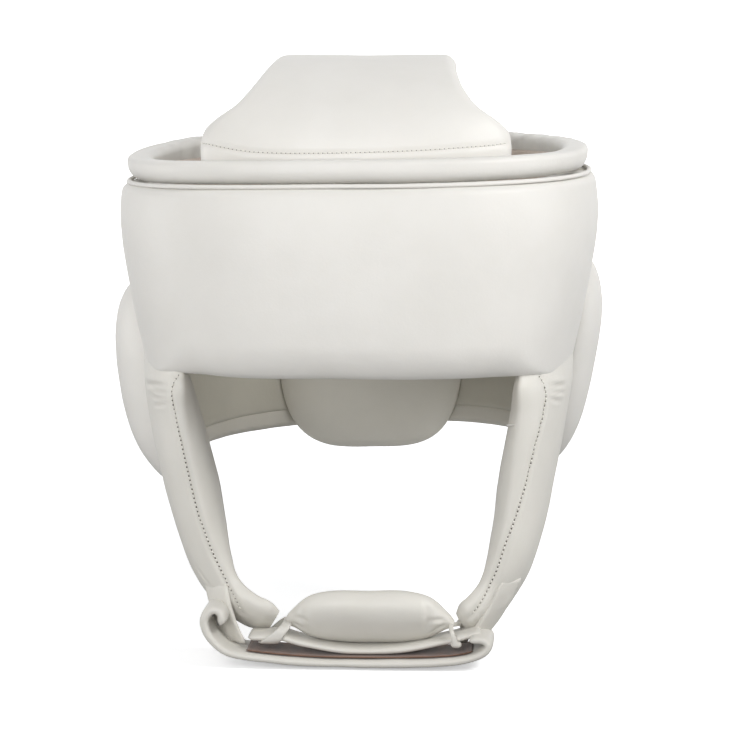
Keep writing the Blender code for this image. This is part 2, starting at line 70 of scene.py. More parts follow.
# Wall round the head, as in the part
HALF_WIDTH = 0.1172
FRONT_DEPTH = 0.118
BACK_DEPTH = 0.124
WALL_HEIGHT = 0.152
RIM_DROP = 0.0315
FRONT_POWER = 2.8
BACK_POWER = 2.15
WALL_SECTIONS = np.array((
    (0.00, 0.972, 0.925, 0.900),
    (0.08, 0.990, 0.955, 0.930),
    (0.20, 1.000, 0.985, 0.970),
    (0.45, 0.955, 1.000, 1.000),
    (0.70, 0.890, 0.985, 0.985),
    (1.00, 0.830, 0.960, 0.920),
))
HALF_WIDTH_AT, FRONT_AT, BACK_AT = 1, 2, 3

RIM_HEIGHT = 0.0110
RIM_THICKNESS = 0.0135
RIM_INSET = 0.0015
RIM_SIDE_DIP = 0.0020
RIM_REAR_RISE = 0.0045
RIM_TILT = 0.0024
RIM_CORNER_RISE = 0.0024
PIPING_DIAMETER = 0.0026
FOREHEAD_HEIGHT = 0.0892
FOREHEAD_THICKNESS = 0.0230
FOREHEAD_END_DEG = 92.5
SIDE_REACH = 0.0030
BACK_THICKNESS = 0.0140
BACK_HEIGHT = 0.1288
BACK_START_DEG = 93.0
HEM_TILT = 0.0032
HEM_HEIGHT = 0.0085
HEM_THICKNESS = 0.0120

CROWN_CENTRE_X = 0.0018
CROWN_HALF_WIDTH = 0.0738
CROWN_THICKNESS = 0.0150
CROWN_TUCK = 0.0100
CROWN_TUCK_ALONG = 0.12
CROWN_SECTIONS = np.array((
    (-0.12, 0.985, 0.42),
    (0.00, 1.000, 0.50),
    (0.10, 0.998, 0.85),
    (0.19, 0.980, 1.00),
    (0.27, 0.905, 1.00),
    (0.36, 0.800, 1.00),
    (0.50, 0.710, 1.00),
    (0.70, 0.645, 1.00),
    (1.00, 0.610, 1.00),
    (1.40, 0.600, 1.00),
    (1.75, 0.660, 1.00),
    (2.00, 0.720, 0.50),
    (2.12, 0.720, 0.42),
))

CHEEK_LENGTH = 0.1200
CHEEK_TOP_X = 0.0882
CHEEK_TIP_X = {"left": 0.0370, "right": 0.0535}
CHEEK_TOP_Y = -0.0430
CHEEK_FORWARD = 0.0340
CHEEK_THICKNESS = 0.0180
CHEEK_DEPTH = 0.0900
CHEEK_BOW = 0.08
CHEEK_SEAM_AT = 0.10
CHEEK_WEDGE = 0.0085
CHEEK_INNER_FULLNESS = {"left": (0.15, 0.42, 0.40, 0.15, 0.0), "right": (0.15, 0.20, 0.25, 0.05, 0.0)}
CHEEK_NAMES = ("drop", "inward_left", "inward_right", "forward", "thickness", "depth", "yaw", "lean")
CHEEK_SECTIONS = np.array((
    (0.00, 0.00, 0.00, 0.00, 0.95, 0.97, 12, 0),
    (0.05, 0.02, 0.02, 0.07, 1.02, 0.97, 12, 3),
    (0.15, 0.05, 0.06, 0.20, 1.10, 0.84, 12, 6),
    (0.40, 0.18, 0.19, 0.47, 1.22, 0.60, 14, 12),
    (0.65, 0.33, 0.33, 0.66, 1.14, 0.47, 17, 18),
    (0.78, 0.42, 0.43, 0.76, 0.94, 0.40, 21, 24),
    (0.87, 0.52, 0.55, 0.84, 0.70, 0.35, 26, 34),
    (0.95, 0.73, 0.76, 0.94, 0.62, 0.34, 31, 50),
    (0.985, 0.90, 0.91, 0.98, 0.56, 0.30, 34, 58),
    (1.00, 1.00, 1.00, 1.00, 0.34, 0.20, 35, 62),
))

CHIN_CENTRE = np.array((0.0092, -0.0870, -0.2510))
CHIN_HALF_WIDTH = 0.0405
CHIN_HALF_HEIGHT = 0.0146
CHIN_HALF_THICKNESS = 0.0088
CHIN_TILT_DEG = 54.0
CHIN_SECTIONS = np.array((
    (-1.00, 0.06, 0.12, -0.14),
    (-0.97, 0.20, 0.26, -0.12),
    (-0.90, 0.36, 0.44, -0.06),
    (-0.75, 0.69, 0.76, 0.00),
    (-0.55, 0.92, 0.95, 0.01),
    (0.00, 1.00, 1.00, 0.00),
    (0.50, 0.96, 0.98, 0.01),
    (0.72, 0.76, 0.82, 0.00),
    (0.90, 0.34, 0.42, -0.08),
    (0.97, 0.17, 0.24, -0.15),
    (1.00, 0.06, 0.12, -0.18),
))

STRAP_HALF_SPAN = 0.0668
STRAP_RISE = 0.0250
STRAP_CENTRE_X = -0.0018
STRAP_Y = -0.0850
STRAP_LOW_DROP = 0.2743
INNER_STRAP_WIDTH = 0.0220
INNER_STRAP_THICKNESS = 0.0038
OUTER_STRAP_WIDTH = 0.0340
OUTER_STRAP_THICKNESS = 0.0050
OUTER_STRAP_LINE = (
    (-0.890, 0.84), (-0.880, 0.98), (-0.900, 1.09), (-0.942, 1.12), (-0.985, 1.04), (-1.007, 0.88),
    (-0.980, 0.64), (-0.905, 0.41), (-0.805, 0.27), (-0.600, 0.19), (-0.320, 0.13), (0.000, 0.11),
    (0.400, 0.12), (0.680, 0.15), (0.837, 0.20), (0.950, 0.29), (1.010, 0.41), (1.015, 0.53),
    (0.964, 0.60), (0.885, 0.585),
)
INNER_STRAP_LINE = (
    (-0.700, 0.555), (-0.600, 0.55), (-0.470, 0.56), (-0.320, 0.45), (0.000, 0.315), (0.390, 0.345),
    (0.700, 0.51), (0.860, 0.62), (0.965, 0.70),
)


def column(rows, index, at):
    """The smooth value of a table's column where its first column equals at."""
    places = rows[:, 0]
    values = rows[:, index]
    steps = np.diff(values) / np.diff(places)
    slopes = np.concatenate([[steps[0]], (steps[1:] + steps[:-1]) / 2, [steps[-1]]])
    at = np.asarray(at, float)
    i = np.clip(np.searchsorted(places, at, side="right") - 1, 0, len(places) - 2)
    gap = places[i + 1] - places[i]
    t = np.clip((at - places[i]) / gap, 0, 1)
    inside = (
        (2 * t ** 3 - 3 * t ** 2 + 1) * values[i]
        + (t ** 3 - 2 * t ** 2 + t) * gap * slopes[i]
        + (3 * t ** 2 - 2 * t ** 3) * values[i + 1]
        + (t ** 3 - t ** 2) * gap * slopes[i + 1]
    )
    below = np.minimum(at - places[0], 0) * slopes[0]
    above = np.maximum(at - places[-1], 0) * slopes[-1]
    return inside + below + above


def signed_power(value, power):
    return np.sign(value) * np.abs(value) ** power


def plan_point(degrees, z):
    """The wall's outer face at plan angles and heights."""
    degrees, z = np.broadcast_arrays(np.asarray(degrees, float), np.asarray(z, float))
    drop = (-RIM_DROP - z) / WALL_HEIGHT
    turn = np.radians(degrees)
    ahead = np.cos(turn) >= 0
    power = np.where(ahead, FRONT_POWER, BACK_POWER)
    half_width = HALF_WIDTH * column(WALL_SECTIONS, HALF_WIDTH_AT, drop)
    depth = np.where(
        ahead,
        FRONT_DEPTH * column(WALL_SECTIONS, FRONT_AT, drop),
        BACK_DEPTH * column(WALL_SECTIONS, BACK_AT, drop),
    )
    x = half_width * signed_power(np.sin(turn), 2 / power)
    y = -depth * signed_power(np.cos(turn), 2 / power)
    return np.stack([x, y, z], axis=-1)


def wall_point(degrees, z, inset):
    """Points inset from the wall's outer face, towards the head."""
    along = plan_point(np.asarray(degrees) + 1.0, z) - plan_point(np.asarray(degrees) - 1.0, z)
    outward = np.stack([along[..., 1], -along[..., 0], np.zeros(along.shape[:-1])], axis=-1)
    outward /= np.linalg.norm(outward, axis=-1, keepdims=True)
    return plan_point(degrees, z) - outward * np.asarray(inset)[..., None]


def even_angles(start, end, count, level, closed=False):
    """Plan angles that part the wall into even lengths."""
    fine = np.linspace(start, end, 2881)
    points = wall_point(fine, level, 0.012)
    run = np.concatenate([[0], np.cumsum(np.linalg.norm(np.diff(points, axis=0), axis=1))])
    angles = np.interp(np.linspace(0, run[-1], count + 1), run, fine)
    return angles[:-1] if closed else angles


def unit_section(count, half_u, half_v, powers):
    """A closed section of evenly spaced (u, v) between -1 and 1. powers are the fullness of
    its quarters: +u+v, -u+v, -u-v, +u-v."""
    fine = np.linspace(0, math.pi / 2, 361)
    quarters = []
    for quarter, power in enumerate(powers):
        turn = fine if quarter % 2 == 0 else fine[::-1]
        u = np.cos(turn) ** (2 / power)
        v = np.sin(turn) ** (2 / power)
        u *= (1, -1, -1, 1)[quarter]
        v *= (1, 1, -1, -1)[quarter]
        quarters.append(np.stack([u, v], axis=-1)[:-1])
    loop = np.concatenate(quarters)
    loop = np.concatenate([loop, loop[:1]])
    lengths = np.hypot(np.diff(loop[:, 0]) * half_u, np.diff(loop[:, 1]) * half_v)
    run = np.concatenate([[0], np.cumsum(lengths)])
    goals = np.linspace(0, run[-1], count + 1)[:-1]
    return np.stack([np.interp(goals, run, loop[:, k]) for k in (0, 1)], axis=-1)


def padded_section(count, thickness, height, corners, bulge=0.0):
    """A section in metres as (u outward, v up) with its own rounding in each corner: outer
    top, inner top, inner bottom, outer bottom. The outer side bulges in its middle."""
    half_u, half_v = thickness / 2, height / 2
    rows, weights = [], []
    for quarter, (reach_u, reach_v) in enumerate(corners):
        sign_u = (1, -1, -1, 1)[quarter]
        sign_v = (1, 1, -1, -1)[quarter]
        turn = np.linspace(0, math.pi / 2, 25) + quarter * math.pi / 2
        u = sign_u * (half_u - reach_u) + reach_u * np.cos(turn)
        v = sign_v * (half_v - reach_v) + reach_v * np.sin(turn)
        rows.append(np.stack([u, v], axis=-1))
        weights += [2.2] * 24 + [1.0]
    loop = np.concatenate(rows + [rows[0][:1]])
    steps = np.hypot(np.diff(loop[:, 0]), np.diff(loop[:, 1])) * np.array(weights)
    run = np.concatenate([[0], np.cumsum(steps)])
    goals = np.linspace(0, run[-1], count + 1)[:-1]
    u, v = (np.interp(goals, run, loop[:, k]) for k in (0, 1))
    u = u + bulge * (1 - (v / half_v) ** 2) * (u > 0)
    return np.stack([u, v], axis=-1)


def smooth_step(value, start, end):
    t = np.clip((value - start) / (end - start), 0, 1)
    return t * t * (3 - 2 * t)


def smooth_line(points, per_span):
    """A smooth curve through the given points."""
    points = np.asarray(points, float)
    line = []
    for i in range(len(points) - 1):
        before = points[max(i - 1, 0)]
        start, end = points[i], points[i + 1]
        after = points[min(i + 2, len(points) - 1)]
        for t in np.arange(per_span) / per_span:
            line.append(
                start
                + (end - before) * (0.5 * t)
                + (2 * before - 5 * start + 4 * end - after) * (0.5 * t * t)
                + (3 * start - before - 3 * end + after) * (0.5 * t ** 3)
            )
    line.append(points[-1])
    return np.array(line)


def even_line(line, pitch):
    """The line again, with points a pitch apart."""
    run = np.concatenate([[0], np.cumsum(np.linalg.norm(np.diff(line, axis=0), axis=1))])
    count = max(2, int(round(run[-1] / pitch)))
    goals = np.linspace(0, run[-1], count + 1)
    return np.stack([np.interp(goals, run, line[:, k]) for k in range(line.shape[1])], axis=-1)


def make_mesh(name, points, faces, material, slot_name):
    """A smooth shaded piece with outward faces, riding on the one body."""
    mesh = bpy.data.meshes.new(name)
    mesh.from_pydata([tuple(p) for p in points], [], faces)
    body = bmesh.new()
    body.from_mesh(mesh)
    bmesh.ops.recalc_face_normals(body, faces=body.faces)
    if body.calc_volume(signed=True) < 0:
        bmesh.ops.reverse_faces(body, faces=body.faces)
    body.to_mesh(mesh)
    body.free()
    mesh.shade_smooth()
    mesh.materials.append(material)
    # Per-vertex painted shade, zero at first; the leather darkens where it is raised.
    soil = mesh.attributes.new("soil", "FLOAT", "POINT")
    soil.data.foreach_set("value", np.zeros(len(mesh.vertices), dtype=np.float32))
    piece = bpy.data.objects.new(name, mesh)
    bpy.context.collection.objects.link(piece)
    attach(piece, "root")
    return piece


def loft(name, rings, material, slot_name, closed=False):
    """Joins rings of equally many points, with strips across the open ends."""
    rings = np.asarray(rings)
    total, count = rings.shape[:2]
    faces = []
    for i in range(total if closed else total - 1):
        here = i * count
        there = ((i + 1) % total) * count
        for k in range(count):
            after = (k + 1) % count
            faces.append((here + k, here + after, there + after, there + k))
    if not closed:
        half = count // 2
        for base in (0, (total - 1) * count):
            faces.append((base, base + 1, base + count - 1))
            faces += [
                (base + k, base + k + 1, base + count - k - 1, base + count - k)
                for k in range(1, half - 1)
            ]
            faces.append((base + half - 1, base + half, base + half + 1))
    return make_mesh(name, rings.reshape(-1, 3), faces, material, slot_name)


def places_of(piece):
    flat = np.empty(len(piece.data.vertices) * 3, dtype=np.float32)
    piece.data.vertices.foreach_get("co", flat)
    return flat.reshape(-1, 3).astype(float)


def normals_of(piece):
    flat = np.empty(len(piece.data.vertices) * 3, dtype=np.float32)
    piece.data.vertex_normals.foreach_get("vector", flat)
    return flat.reshape(-1, 3).astype(float)


def put(piece, points):
    piece.data.vertices.foreach_set("co", points.astype(np.float32).ravel())
    piece.data.update()


def push(piece, amounts, direction=None):
    """Moves the surface out by amounts, one for each vertex."""
    way = normals_of(piece) if direction is None else direction
    put(piece, places_of(piece) + way * np.asarray(amounts)[:, None])


def add_soil(piece, amounts):
    """Paints shade: darkens the surface where amounts is above 0."""
    data = piece.data.attributes["soil"].data
    old = np.empty(len(data), dtype=np.float32)
    data.foreach_get("value", old)
    data.foreach_set("value", np.clip(old + amounts, 0, 1).astype(np.float32))


def lumps(points, size, seed):
    """Smooth noise from -1 to 1 at the points, of a given lump size."""
    shift = Vector((seed * 7.31, seed * 3.17, seed * 5.77))
    return np.array([noise.noise(Vector(p) / size + shift) for p in points])


def soften(piece, broad, fine, seed, broad_size=0.030, fine_size=0.009):
    """Uneven filling under the cover."""
    points = places_of(piece)
    push(piece, broad * lumps(points, broad_size, seed) + fine * lumps(points, fine_size, seed + 1))


def distance_to(points, line):
    """For each point: its distance to the line, and how far along the line that is, 0 to 1."""
    starts, ends = line[:-1], line[1:]
    spans = ends - starts
    lengths = np.linalg.norm(spans, axis=1)
    run = np.concatenate([[0], np.cumsum(lengths)])
    best = np.full(len(points), 1e9)
    along = np.zeros(len(points))
    for i in range(len(spans)):
        t = np.clip((points - starts[i]) @ spans[i] / max(lengths[i] ** 2, 1e-12), 0, 1)
        gap = np.linalg.norm(points - starts[i] - t[:, None] * spans[i], axis=1)
        nearer = gap < best
        best[nearer] = gap[nearer]
        along[nearer] = (run[i] + t[nearer] * lengths[i]) / run[-1]
    return best, along


def crease(piece, line, width, depth, lip=0.3, soil=0.0, fade=0.0):
    """A sewn or folded groove along a line on the surface, with a raised lip beside it, and painted shade
    darkening the groove if a shade amount is given.
    """
    line = np.asarray(line)
    gap, along = distance_to(places_of(piece), line)
    groove = np.exp(-((gap / width) ** 2))
    ridge = np.exp(-(((gap - 2 * width) / width) ** 2))
    strength = np.ones(len(gap))
    if fade:
        strength = np.clip(np.minimum(along, 1 - along) / fade, 0, 1)
    push(piece, strength * depth * (lip * ridge - groove))
    # Painted shade in the groove.
    if soil:
        add_soil(piece, strength * soil * np.exp(-((gap / (0.6 * width)) ** 2)))


azimuth = math.radians(CAMERA_AZIMUTH)
elevation = math.radians(CAMERA_ELEVATION)
CAMERA_BACK = Vector((
    math.sin(azimuth) * math.cos(elevation),
    -math.cos(azimuth) * math.cos(elevation),
    math.sin(elevation),
))
CAMERA_RIGHT = Vector((math.cos(azimuth), math.sin(azimuth), 0))
CAMERA_UP = CAMERA_BACK.cross(CAMERA_RIGHT)
CAMERA_PLACE = Vector(CAMERA_TARGET) + CAMERA_BACK * CAMERA_DISTANCE
FOCAL_PX = LENS_MM / SENSOR_MM * FRAME_PX


def make_camera():
    data = bpy.data.cameras.new("camera")
    data.lens = LENS_MM
    data.sensor_width = SENSOR_MM
    camera = bpy.data.objects.new("camera", data)
    turn = Matrix((CAMERA_RIGHT, CAMERA_UP, CAMERA_BACK)).transposed().to_4x4()
    camera.matrix_world = Matrix.Translation(CAMERA_PLACE) @ turn
    bpy.context.collection.objects.link(camera)
    bpy.context.scene.camera = camera


def sight(across, down):
    """The direction in which a place in the picture is seen."""
    half = FRAME_PX / 2
    ray = CAMERA_RIGHT * ((across - half) / FOCAL_PX) - CAMERA_UP * ((down - half) / FOCAL_PX)
    return (ray - CAMERA_BACK).normalized()


def seen_on(piece, places):
    """Where a line in the picture lies on a piece, and the surface normals there."""
    mesh = piece.data
    tree = BVHTree.FromPolygons([v.co for v in mesh.vertices], [p.vertices[:] for p in mesh.polygons])
    points, normals = [], []
    for across, down in places:
        hit, normal, _, _ = tree.ray_cast(CAMERA_PLACE, sight(across, down))
        if hit is not None:
            points.append(hit)
            normals.append(normal)
    return np.array(points), np.array(normals)


def seam_seen(piece, places, width, depth, pitch=0.0008, **more):
    """A groove where a line in the picture lies on a piece. Returns its points and normals."""
    fine = smooth_line(places, 8)
    points, _ = seen_on(piece, fine)
    for _ in range(12):
        points[1:-1] = points[1:-1] / 2 + (points[:-2] + points[2:]) / 4
    line = even_line(points, pitch)
    crease(piece, line, width, depth, **more)
    return settle(piece, line)


def settle(piece, line):
    """The nearest points of a piece to a line, and the surface normals there."""
    mesh = piece.data
    tree = BVHTree.FromPolygons([v.co for v in mesh.vertices], [p.vertices[:] for p in mesh.polygons])
    found = [tree.find_nearest(Vector(p)) for p in line]
    return np.array([f[0] for f in found]), np.array([f[1] for f in found])


def stitches(name, points, normals, pitch=0.0022, radius=0.00042, share=0.62):
    """Thread stitches along a seam, with a dark dot between each two: painted shade in the needle hole."""
    run = np.concatenate([[0], np.cumsum(np.linalg.norm(np.diff(points, axis=0), axis=1))])
    count = max(2, int(run[-1] / pitch))

    def at(goal, rows):
        return np.array([np.interp(goal, run, rows[:, k]) for k in range(3)])

    verts, faces = [], []
    hole_verts, hole_faces = [], []
    ring_shares = ((-1.0, 0.15), (-0.86, 0.75), (-0.4, 1.0), (0.0, 1.08), (0.4, 1.0), (0.86, 0.75), (1.0, 0.15))
    sides = 6
    for i in range(count):
        start, end = at((i + 0.5 - share / 2) * pitch, points), at((i + 0.5 + share / 2) * pitch, points)
        up = at((i + 0.5) * pitch, normals)
        up /= np.linalg.norm(up)
        ahead = (end - start) / 2
        middle = (start + end) / 2 + up * radius * 0.55
        side = np.cross(up, ahead)
        side /= np.linalg.norm(side)
        ahead = ahead + side * radius * 0.5
        base = len(verts)
        for along, size in ring_shares:
            sink = up * radius * 0.9 * along ** 4
            for k in range(sides):
                turn = 2 * math.pi * k / sides
                verts.append(
                    middle + ahead * along - sink
                    + (side * math.cos(turn) + up * math.sin(turn)) * radius * size
                )
        for r in range(len(ring_shares) - 1):
            for k in range(sides):
                after = (k + 1) % sides
                row = base + r * sides
                faces.append((row + k, row + after, row + sides + after, row + sides + k))
        faces.append(tuple(base + k for k in range(sides))[::-1])
        last = base + (len(ring_shares) - 1) * sides
        faces.append(tuple(last + k for k in range(sides)))
        # A dark dot at the needle hole: painted shade.
        hole = at(i * pitch, points)
        hole_base = len(hole_verts)
        for lift, size in ((-0.5, 0.5), (0.12, 1.0), (0.22, 0.6)):
            for k in range(8):
                turn = 2 * math.pi * k / 8
                hole_verts.append(
                    hole + up * radius * lift
                    + (side * math.cos(turn) + np.cross(side, up) * math.sin(turn)) * radius * 0.95 * size
                )
        for r in range(2):
            for k in range(8):
                after = (k + 1) % 8
                row = hole_base + r * 8
                hole_faces.append((row + k, row + after, row + 8 + after, row + 8 + k))
        hole_faces.append(tuple(hole_base + k for k in range(8))[::-1])
        hole_faces.append(tuple(hole_base + 16 + k for k in range(8)))
    make_mesh(name, verts, faces, MATERIALS["thread"], "strap_leather")
    make_mesh(name + "_painted_hole_shade", hole_verts, hole_faces, MATERIALS["hole"], "strap_leather")


def shader_of(name):
    material = bpy.data.materials.new(name)
    material.use_nodes = True
    return material, material.node_tree, material.node_tree.nodes["Principled BSDF"]


def link(tree, out_socket, in_socket):
    tree.links.new(out_socket, in_socket)


def noise_node(tree, coordinates, scale, detail, roughness=0.5):
    node = tree.nodes.new("ShaderNodeTexNoise")
    node.inputs["Scale"].default_value = scale
    node.inputs["Detail"].default_value = detail
    node.inputs["Roughness"].default_value = roughness
    link(tree, coordinates, node.inputs["Vector"])
    return node.outputs["Fac"]


def ramp_node(tree, value, stops):
    node = tree.nodes.new("ShaderNodeValToRGB")
    while len(node.color_ramp.elements) < len(stops):
        node.color_ramp.elements.new(0.5)
    for element, (place, colour) in zip(node.color_ramp.elements, stops):
        element.position = place
        element.color = (*colour, 1)
    link(tree, value, node.inputs["Fac"])
    return node.outputs["Color"]


def mix_colours(tree, factor, first, second):
    node = tree.nodes.new("ShaderNodeMix")
    node.data_type = "RGBA"
    link(tree, factor, node.inputs["Factor"])
    for socket, value in ((node.inputs["A"], first), (node.inputs["B"], second)):
        if isinstance(value, tuple):
            socket.default_value = (*value, 1)
        else:
            link(tree, value, socket)
    return node.outputs["Result"]


def remap(tree, value, low, high):
    node = tree.nodes.new("ShaderNodeMapRange")
    node.inputs["To Min"].default_value = low
    node.inputs["To Max"].default_value = high
    link(tree, value, node.inputs["Value"])
    return node.outputs["Result"]


def bump_node(tree, height, distance, strength, normal=None):
    node = tree.nodes.new("ShaderNodeBump")
    node.inputs["Distance"].default_value = distance
    node.inputs["Strength"].default_value = strength
    link(tree, height, node.inputs["Height"])
    if normal is not None:
        link(tree, normal, node.inputs["Normal"])
    return node.outputs["Normal"]


def leather_material(name, light, dark, soiled, roughness, sheen, grain=1100.0):
    """Smooth coated leather: fine pebble grain, faint blotches, and painted shade in seams and folds."""
    material, tree, shader = shader_of(name)
    coordinates = tree.nodes.new("ShaderNodeTexCoord").outputs["Object"]
    blotch = noise_node(tree, coordinates, 22.0, 4.0, 0.6)
    colour = mix_colours(tree, remap(tree, blotch, -0.4, 1.4), light, dark)
    # Painted shade: the colour mixes towards the dark shade colour where the shade attribute is raised.
    soil = tree.nodes.new("ShaderNodeAttribute")
    soil.attribute_name = "soil"
    colour = mix_colours(tree, soil.outputs["Fac"], colour, soiled)
    link(tree, colour, shader.inputs["Base Color"])
    cells = tree.nodes.new("ShaderNodeTexVoronoi")
    cells.feature = "SMOOTH_F1"
    cells.inputs["Scale"].default_value = grain
    link(tree, coordinates, cells.inputs["Vector"])
    fine = noise_node(tree, coordinates, grain * 0.35, 3.0)
    wrinkle = noise_node(tree, coordinates, 190.0, 3.0, 0.55)
    normal = bump_node(tree, cells.outputs["Distance"], 0.00008, 0.35)
    normal = bump_node(tree, wrinkle, 0.00035, 0.28, normal)
    link(tree, normal, shader.inputs["Normal"])
    link(tree, remap(tree, fine, roughness - 0.07, roughness + 0.09), shader.inputs["Roughness"])
    shader.inputs["Specular IOR Level"].default_value = 0.42
    shader.inputs["Sheen Weight"].default_value = sheen
    shader.inputs["Sheen Roughness"].default_value = 0.45
    shader.inputs["Subsurface Weight"].default_value = 0.03
    shader.inputs["Subsurface Radius"].default_value = (0.004, 0.003, 0.002)
    return material


def cloth_material(name, light, dark, thread_scale, depth):
    """A close plain weave, crossed from two wave patterns."""
    material, tree, shader = shader_of(name)
    coordinates = tree.nodes.new("ShaderNodeTexCoord").outputs["Object"]
    waves = []
    for axis in ("X", "Z"):
        wave = tree.nodes.new("ShaderNodeTexWave")
        wave.wave_type = "BANDS"
        wave.bands_direction = axis
        wave.inputs["Scale"].default_value = thread_scale
        wave.inputs["Distortion"].default_value = 1.2
        wave.inputs["Detail"].default_value = 1.0
        link(tree, coordinates, wave.inputs["Vector"])
        waves.append(wave.outputs["Fac"])
    weave = tree.nodes.new("ShaderNodeMath")
    weave.operation = "MULTIPLY"
    link(tree, waves[0], weave.inputs[0])
    link(tree, waves[1], weave.inputs[1])
    fuzz = noise_node(tree, coordinates, 420.0, 4.0, 0.7)
    mixed = tree.nodes.new("ShaderNodeMath")
    mixed.operation = "MULTIPLY_ADD"
    link(tree, fuzz, mixed.inputs[0])
    mixed.inputs[1].default_value = 0.6
    link(tree, weave.outputs["Value"], mixed.inputs[2])
    colour = mix_colours(tree, remap(tree, mixed.outputs["Value"], -0.1, 1.1), dark, light)
    link(tree, colour, shader.inputs["Base Color"])
    link(tree, bump_node(tree, mixed.outputs["Value"], depth, 0.6), shader.inputs["Normal"])
    link(tree, remap(tree, fuzz, 0.75, 0.95), shader.inputs["Roughness"])
    shader.inputs["Sheen Weight"].default_value = 0.3
    shader.inputs["Sheen Roughness"].default_value = 0.5
    return material


def thread_material(name, light, dark, roughness):
    material, tree, shader = shader_of(name)
    coordinates = tree.nodes.new("ShaderNodeTexCoord").outputs["Object"]
    twist = noise_node(tree, coordinates, 2600.0, 2.0)
    link(tree, mix_colours(tree, twist, light, dark), shader.inputs["Base Color"])
    link(tree, bump_node(tree, twist, 0.0001, 0.5), shader.inputs["Normal"])
    shader.inputs["Roughness"].default_value = roughness
    return material


MATERIALS = {
    "pad": leather_material(
        "cover_leather", (0.775, 0.757, 0.720), (0.725, 0.707, 0.665), (0.36, 0.33, 0.28), 0.46, 0.08,
    ),
    # A darker copy of the cover leather, for the cheek and chin pads: the difference is painted shade.
    "leg": leather_material(
        "leg_leather_painted_shade", (0.715, 0.695, 0.645), (0.655, 0.635, 0.580), (0.33, 0.30, 0.25), 0.44, 0.08,
    ),
    # A darker copy of the cover leather, for the straps, tabs and loops: the difference is painted shade.
    "strap": leather_material(
        "strap_cover_painted_shade", (0.68, 0.66, 0.61), (0.61, 0.59, 0.54), (0.30, 0.27, 0.22), 0.47, 0.08, 1400.0,
    ),
    # A warmer, darker copy of the cover leather for the back band: the warmth is the lining's tint, the darkness
    # is painted shade of the inside, on both faces of the band.
    "inside": leather_material(
        "inner_leather_painted_shade", (0.56, 0.535, 0.46), (0.50, 0.48, 0.41), (0.24, 0.21, 0.16), 0.50, 0.06,
    ),
    "nape": leather_material(
        "nape_leather", (0.79, 0.765, 0.69), (0.73, 0.705, 0.63), (0.30, 0.27, 0.21), 0.50, 0.06,
    ),
    # A darker copy of the cover leather for the hem roll: the difference is painted shade of the inside.
    "hem": leather_material(
        "hem_leather_painted_shade", (0.64, 0.615, 0.55), (0.58, 0.555, 0.49), (0.24, 0.22, 0.17), 0.47, 0.06,
    ),
    "lining": cloth_material("lining_weave", (0.80, 0.69, 0.61), (0.62, 0.51, 0.43), 480.0, 0.0002),
    "strap_lining": cloth_material("strap_weave", (0.22, 0.11, 0.065), (0.09, 0.045, 0.028), 520.0, 0.0002),
    "thread": thread_material("sewing_thread", (0.80, 0.78, 0.73), (0.66, 0.64, 0.58), 0.6),
    # Near-black dots that paint the shade in the needle holes.
    "hole": thread_material("needle_hole_painted_shade", (0.11, 0.10, 0.08), (0.07, 0.06, 0.05), 0.9),
}


def rim_tilt(degrees):
    return RIM_TILT * np.sin(np.radians(degrees))


def rim_top(degrees):
    side = np.sin(np.radians(degrees)) ** 2
    rear = (1 - np.cos(np.radians(degrees))) / 2
    corner = RIM_CORNER_RISE * np.exp(-(((degrees - 236) / 30) ** 2))
    return -RIM_DROP + rim_tilt(degrees) - RIM_SIDE_DIP * side + RIM_REAR_RISE * rear + corner


def rim_bottom(degrees):
    return -RIM_DROP - RIM_HEIGHT + rim_tilt(degrees)


def pad_top(degrees):
    return rim_bottom(degrees) - PIPING_DIAMETER / 2 - 0.0006


def forehead_bottom(degrees):
    side = smooth_step(np.abs(degrees), 48.0, 70.0)
    return -RIM_DROP - RIM_HEIGHT - PIPING_DIAMETER - FOREHEAD_HEIGHT - SIDE_REACH * side


def back_bottom(degrees):
    tilt = HEM_TILT * np.sin(np.radians(degrees))
    return -RIM_DROP - RIM_HEIGHT - PIPING_DIAMETER - BACK_HEIGHT + tilt


def end_sizes(angles, round_deg):
    """How full a band's sections are towards its two ends."""
    near = np.minimum(angles - angles[0], angles[-1] - angles)
    share = np.clip(near / round_deg, 0, 1)
    return np.sqrt(np.clip(1 - (1 - share) ** 2, 0.0009, 1))


def ended(angles, round_deg, steps=9):
    """The angles, with more of them where the two ends are rounded off."""
    turns = round_deg * (1 - np.cos(np.linspace(0, math.pi / 2, steps)))
    first, last = angles[0], angles[-1]
    sign = 1 if last > first else -1
    middle = [a for a in angles if abs(a - first) > round_deg and abs(last - a) > round_deg]
    return np.array(list(first + sign * turns) + middle + list(last - sign * turns[::-1]))


def band(
    name, angles, inset, thickness, top, bottom, count, corners, material, slot_name,
    closed=False, round_deg=3.0, bulge=0.0, slant=0.0,
):
    """A padded band round the wall. corners gives the section's corners at a plan angle."""
    sizes = np.ones(len(angles)) if closed else end_sizes(angles, round_deg)
    rings = []
    for degrees, size in zip(angles, sizes):
        high, low = float(top(degrees)), float(bottom(degrees))
        middle, height = (high + low) / 2, high - low
        section = padded_section(count, thickness, height, corners(degrees), bulge)
        levels = middle + section[:, 1] * (0.96 + 0.04 * size)
        tuck = slant * (0.6 - section[:, 1] / (height / 2)) * (section[:, 0] > 0)
        insets = inset + thickness / 2 - section[:, 0] * size + tuck
        rings.append(wall_point(degrees, levels, insets))
    return loft(name, rings, material, slot_name, closed)


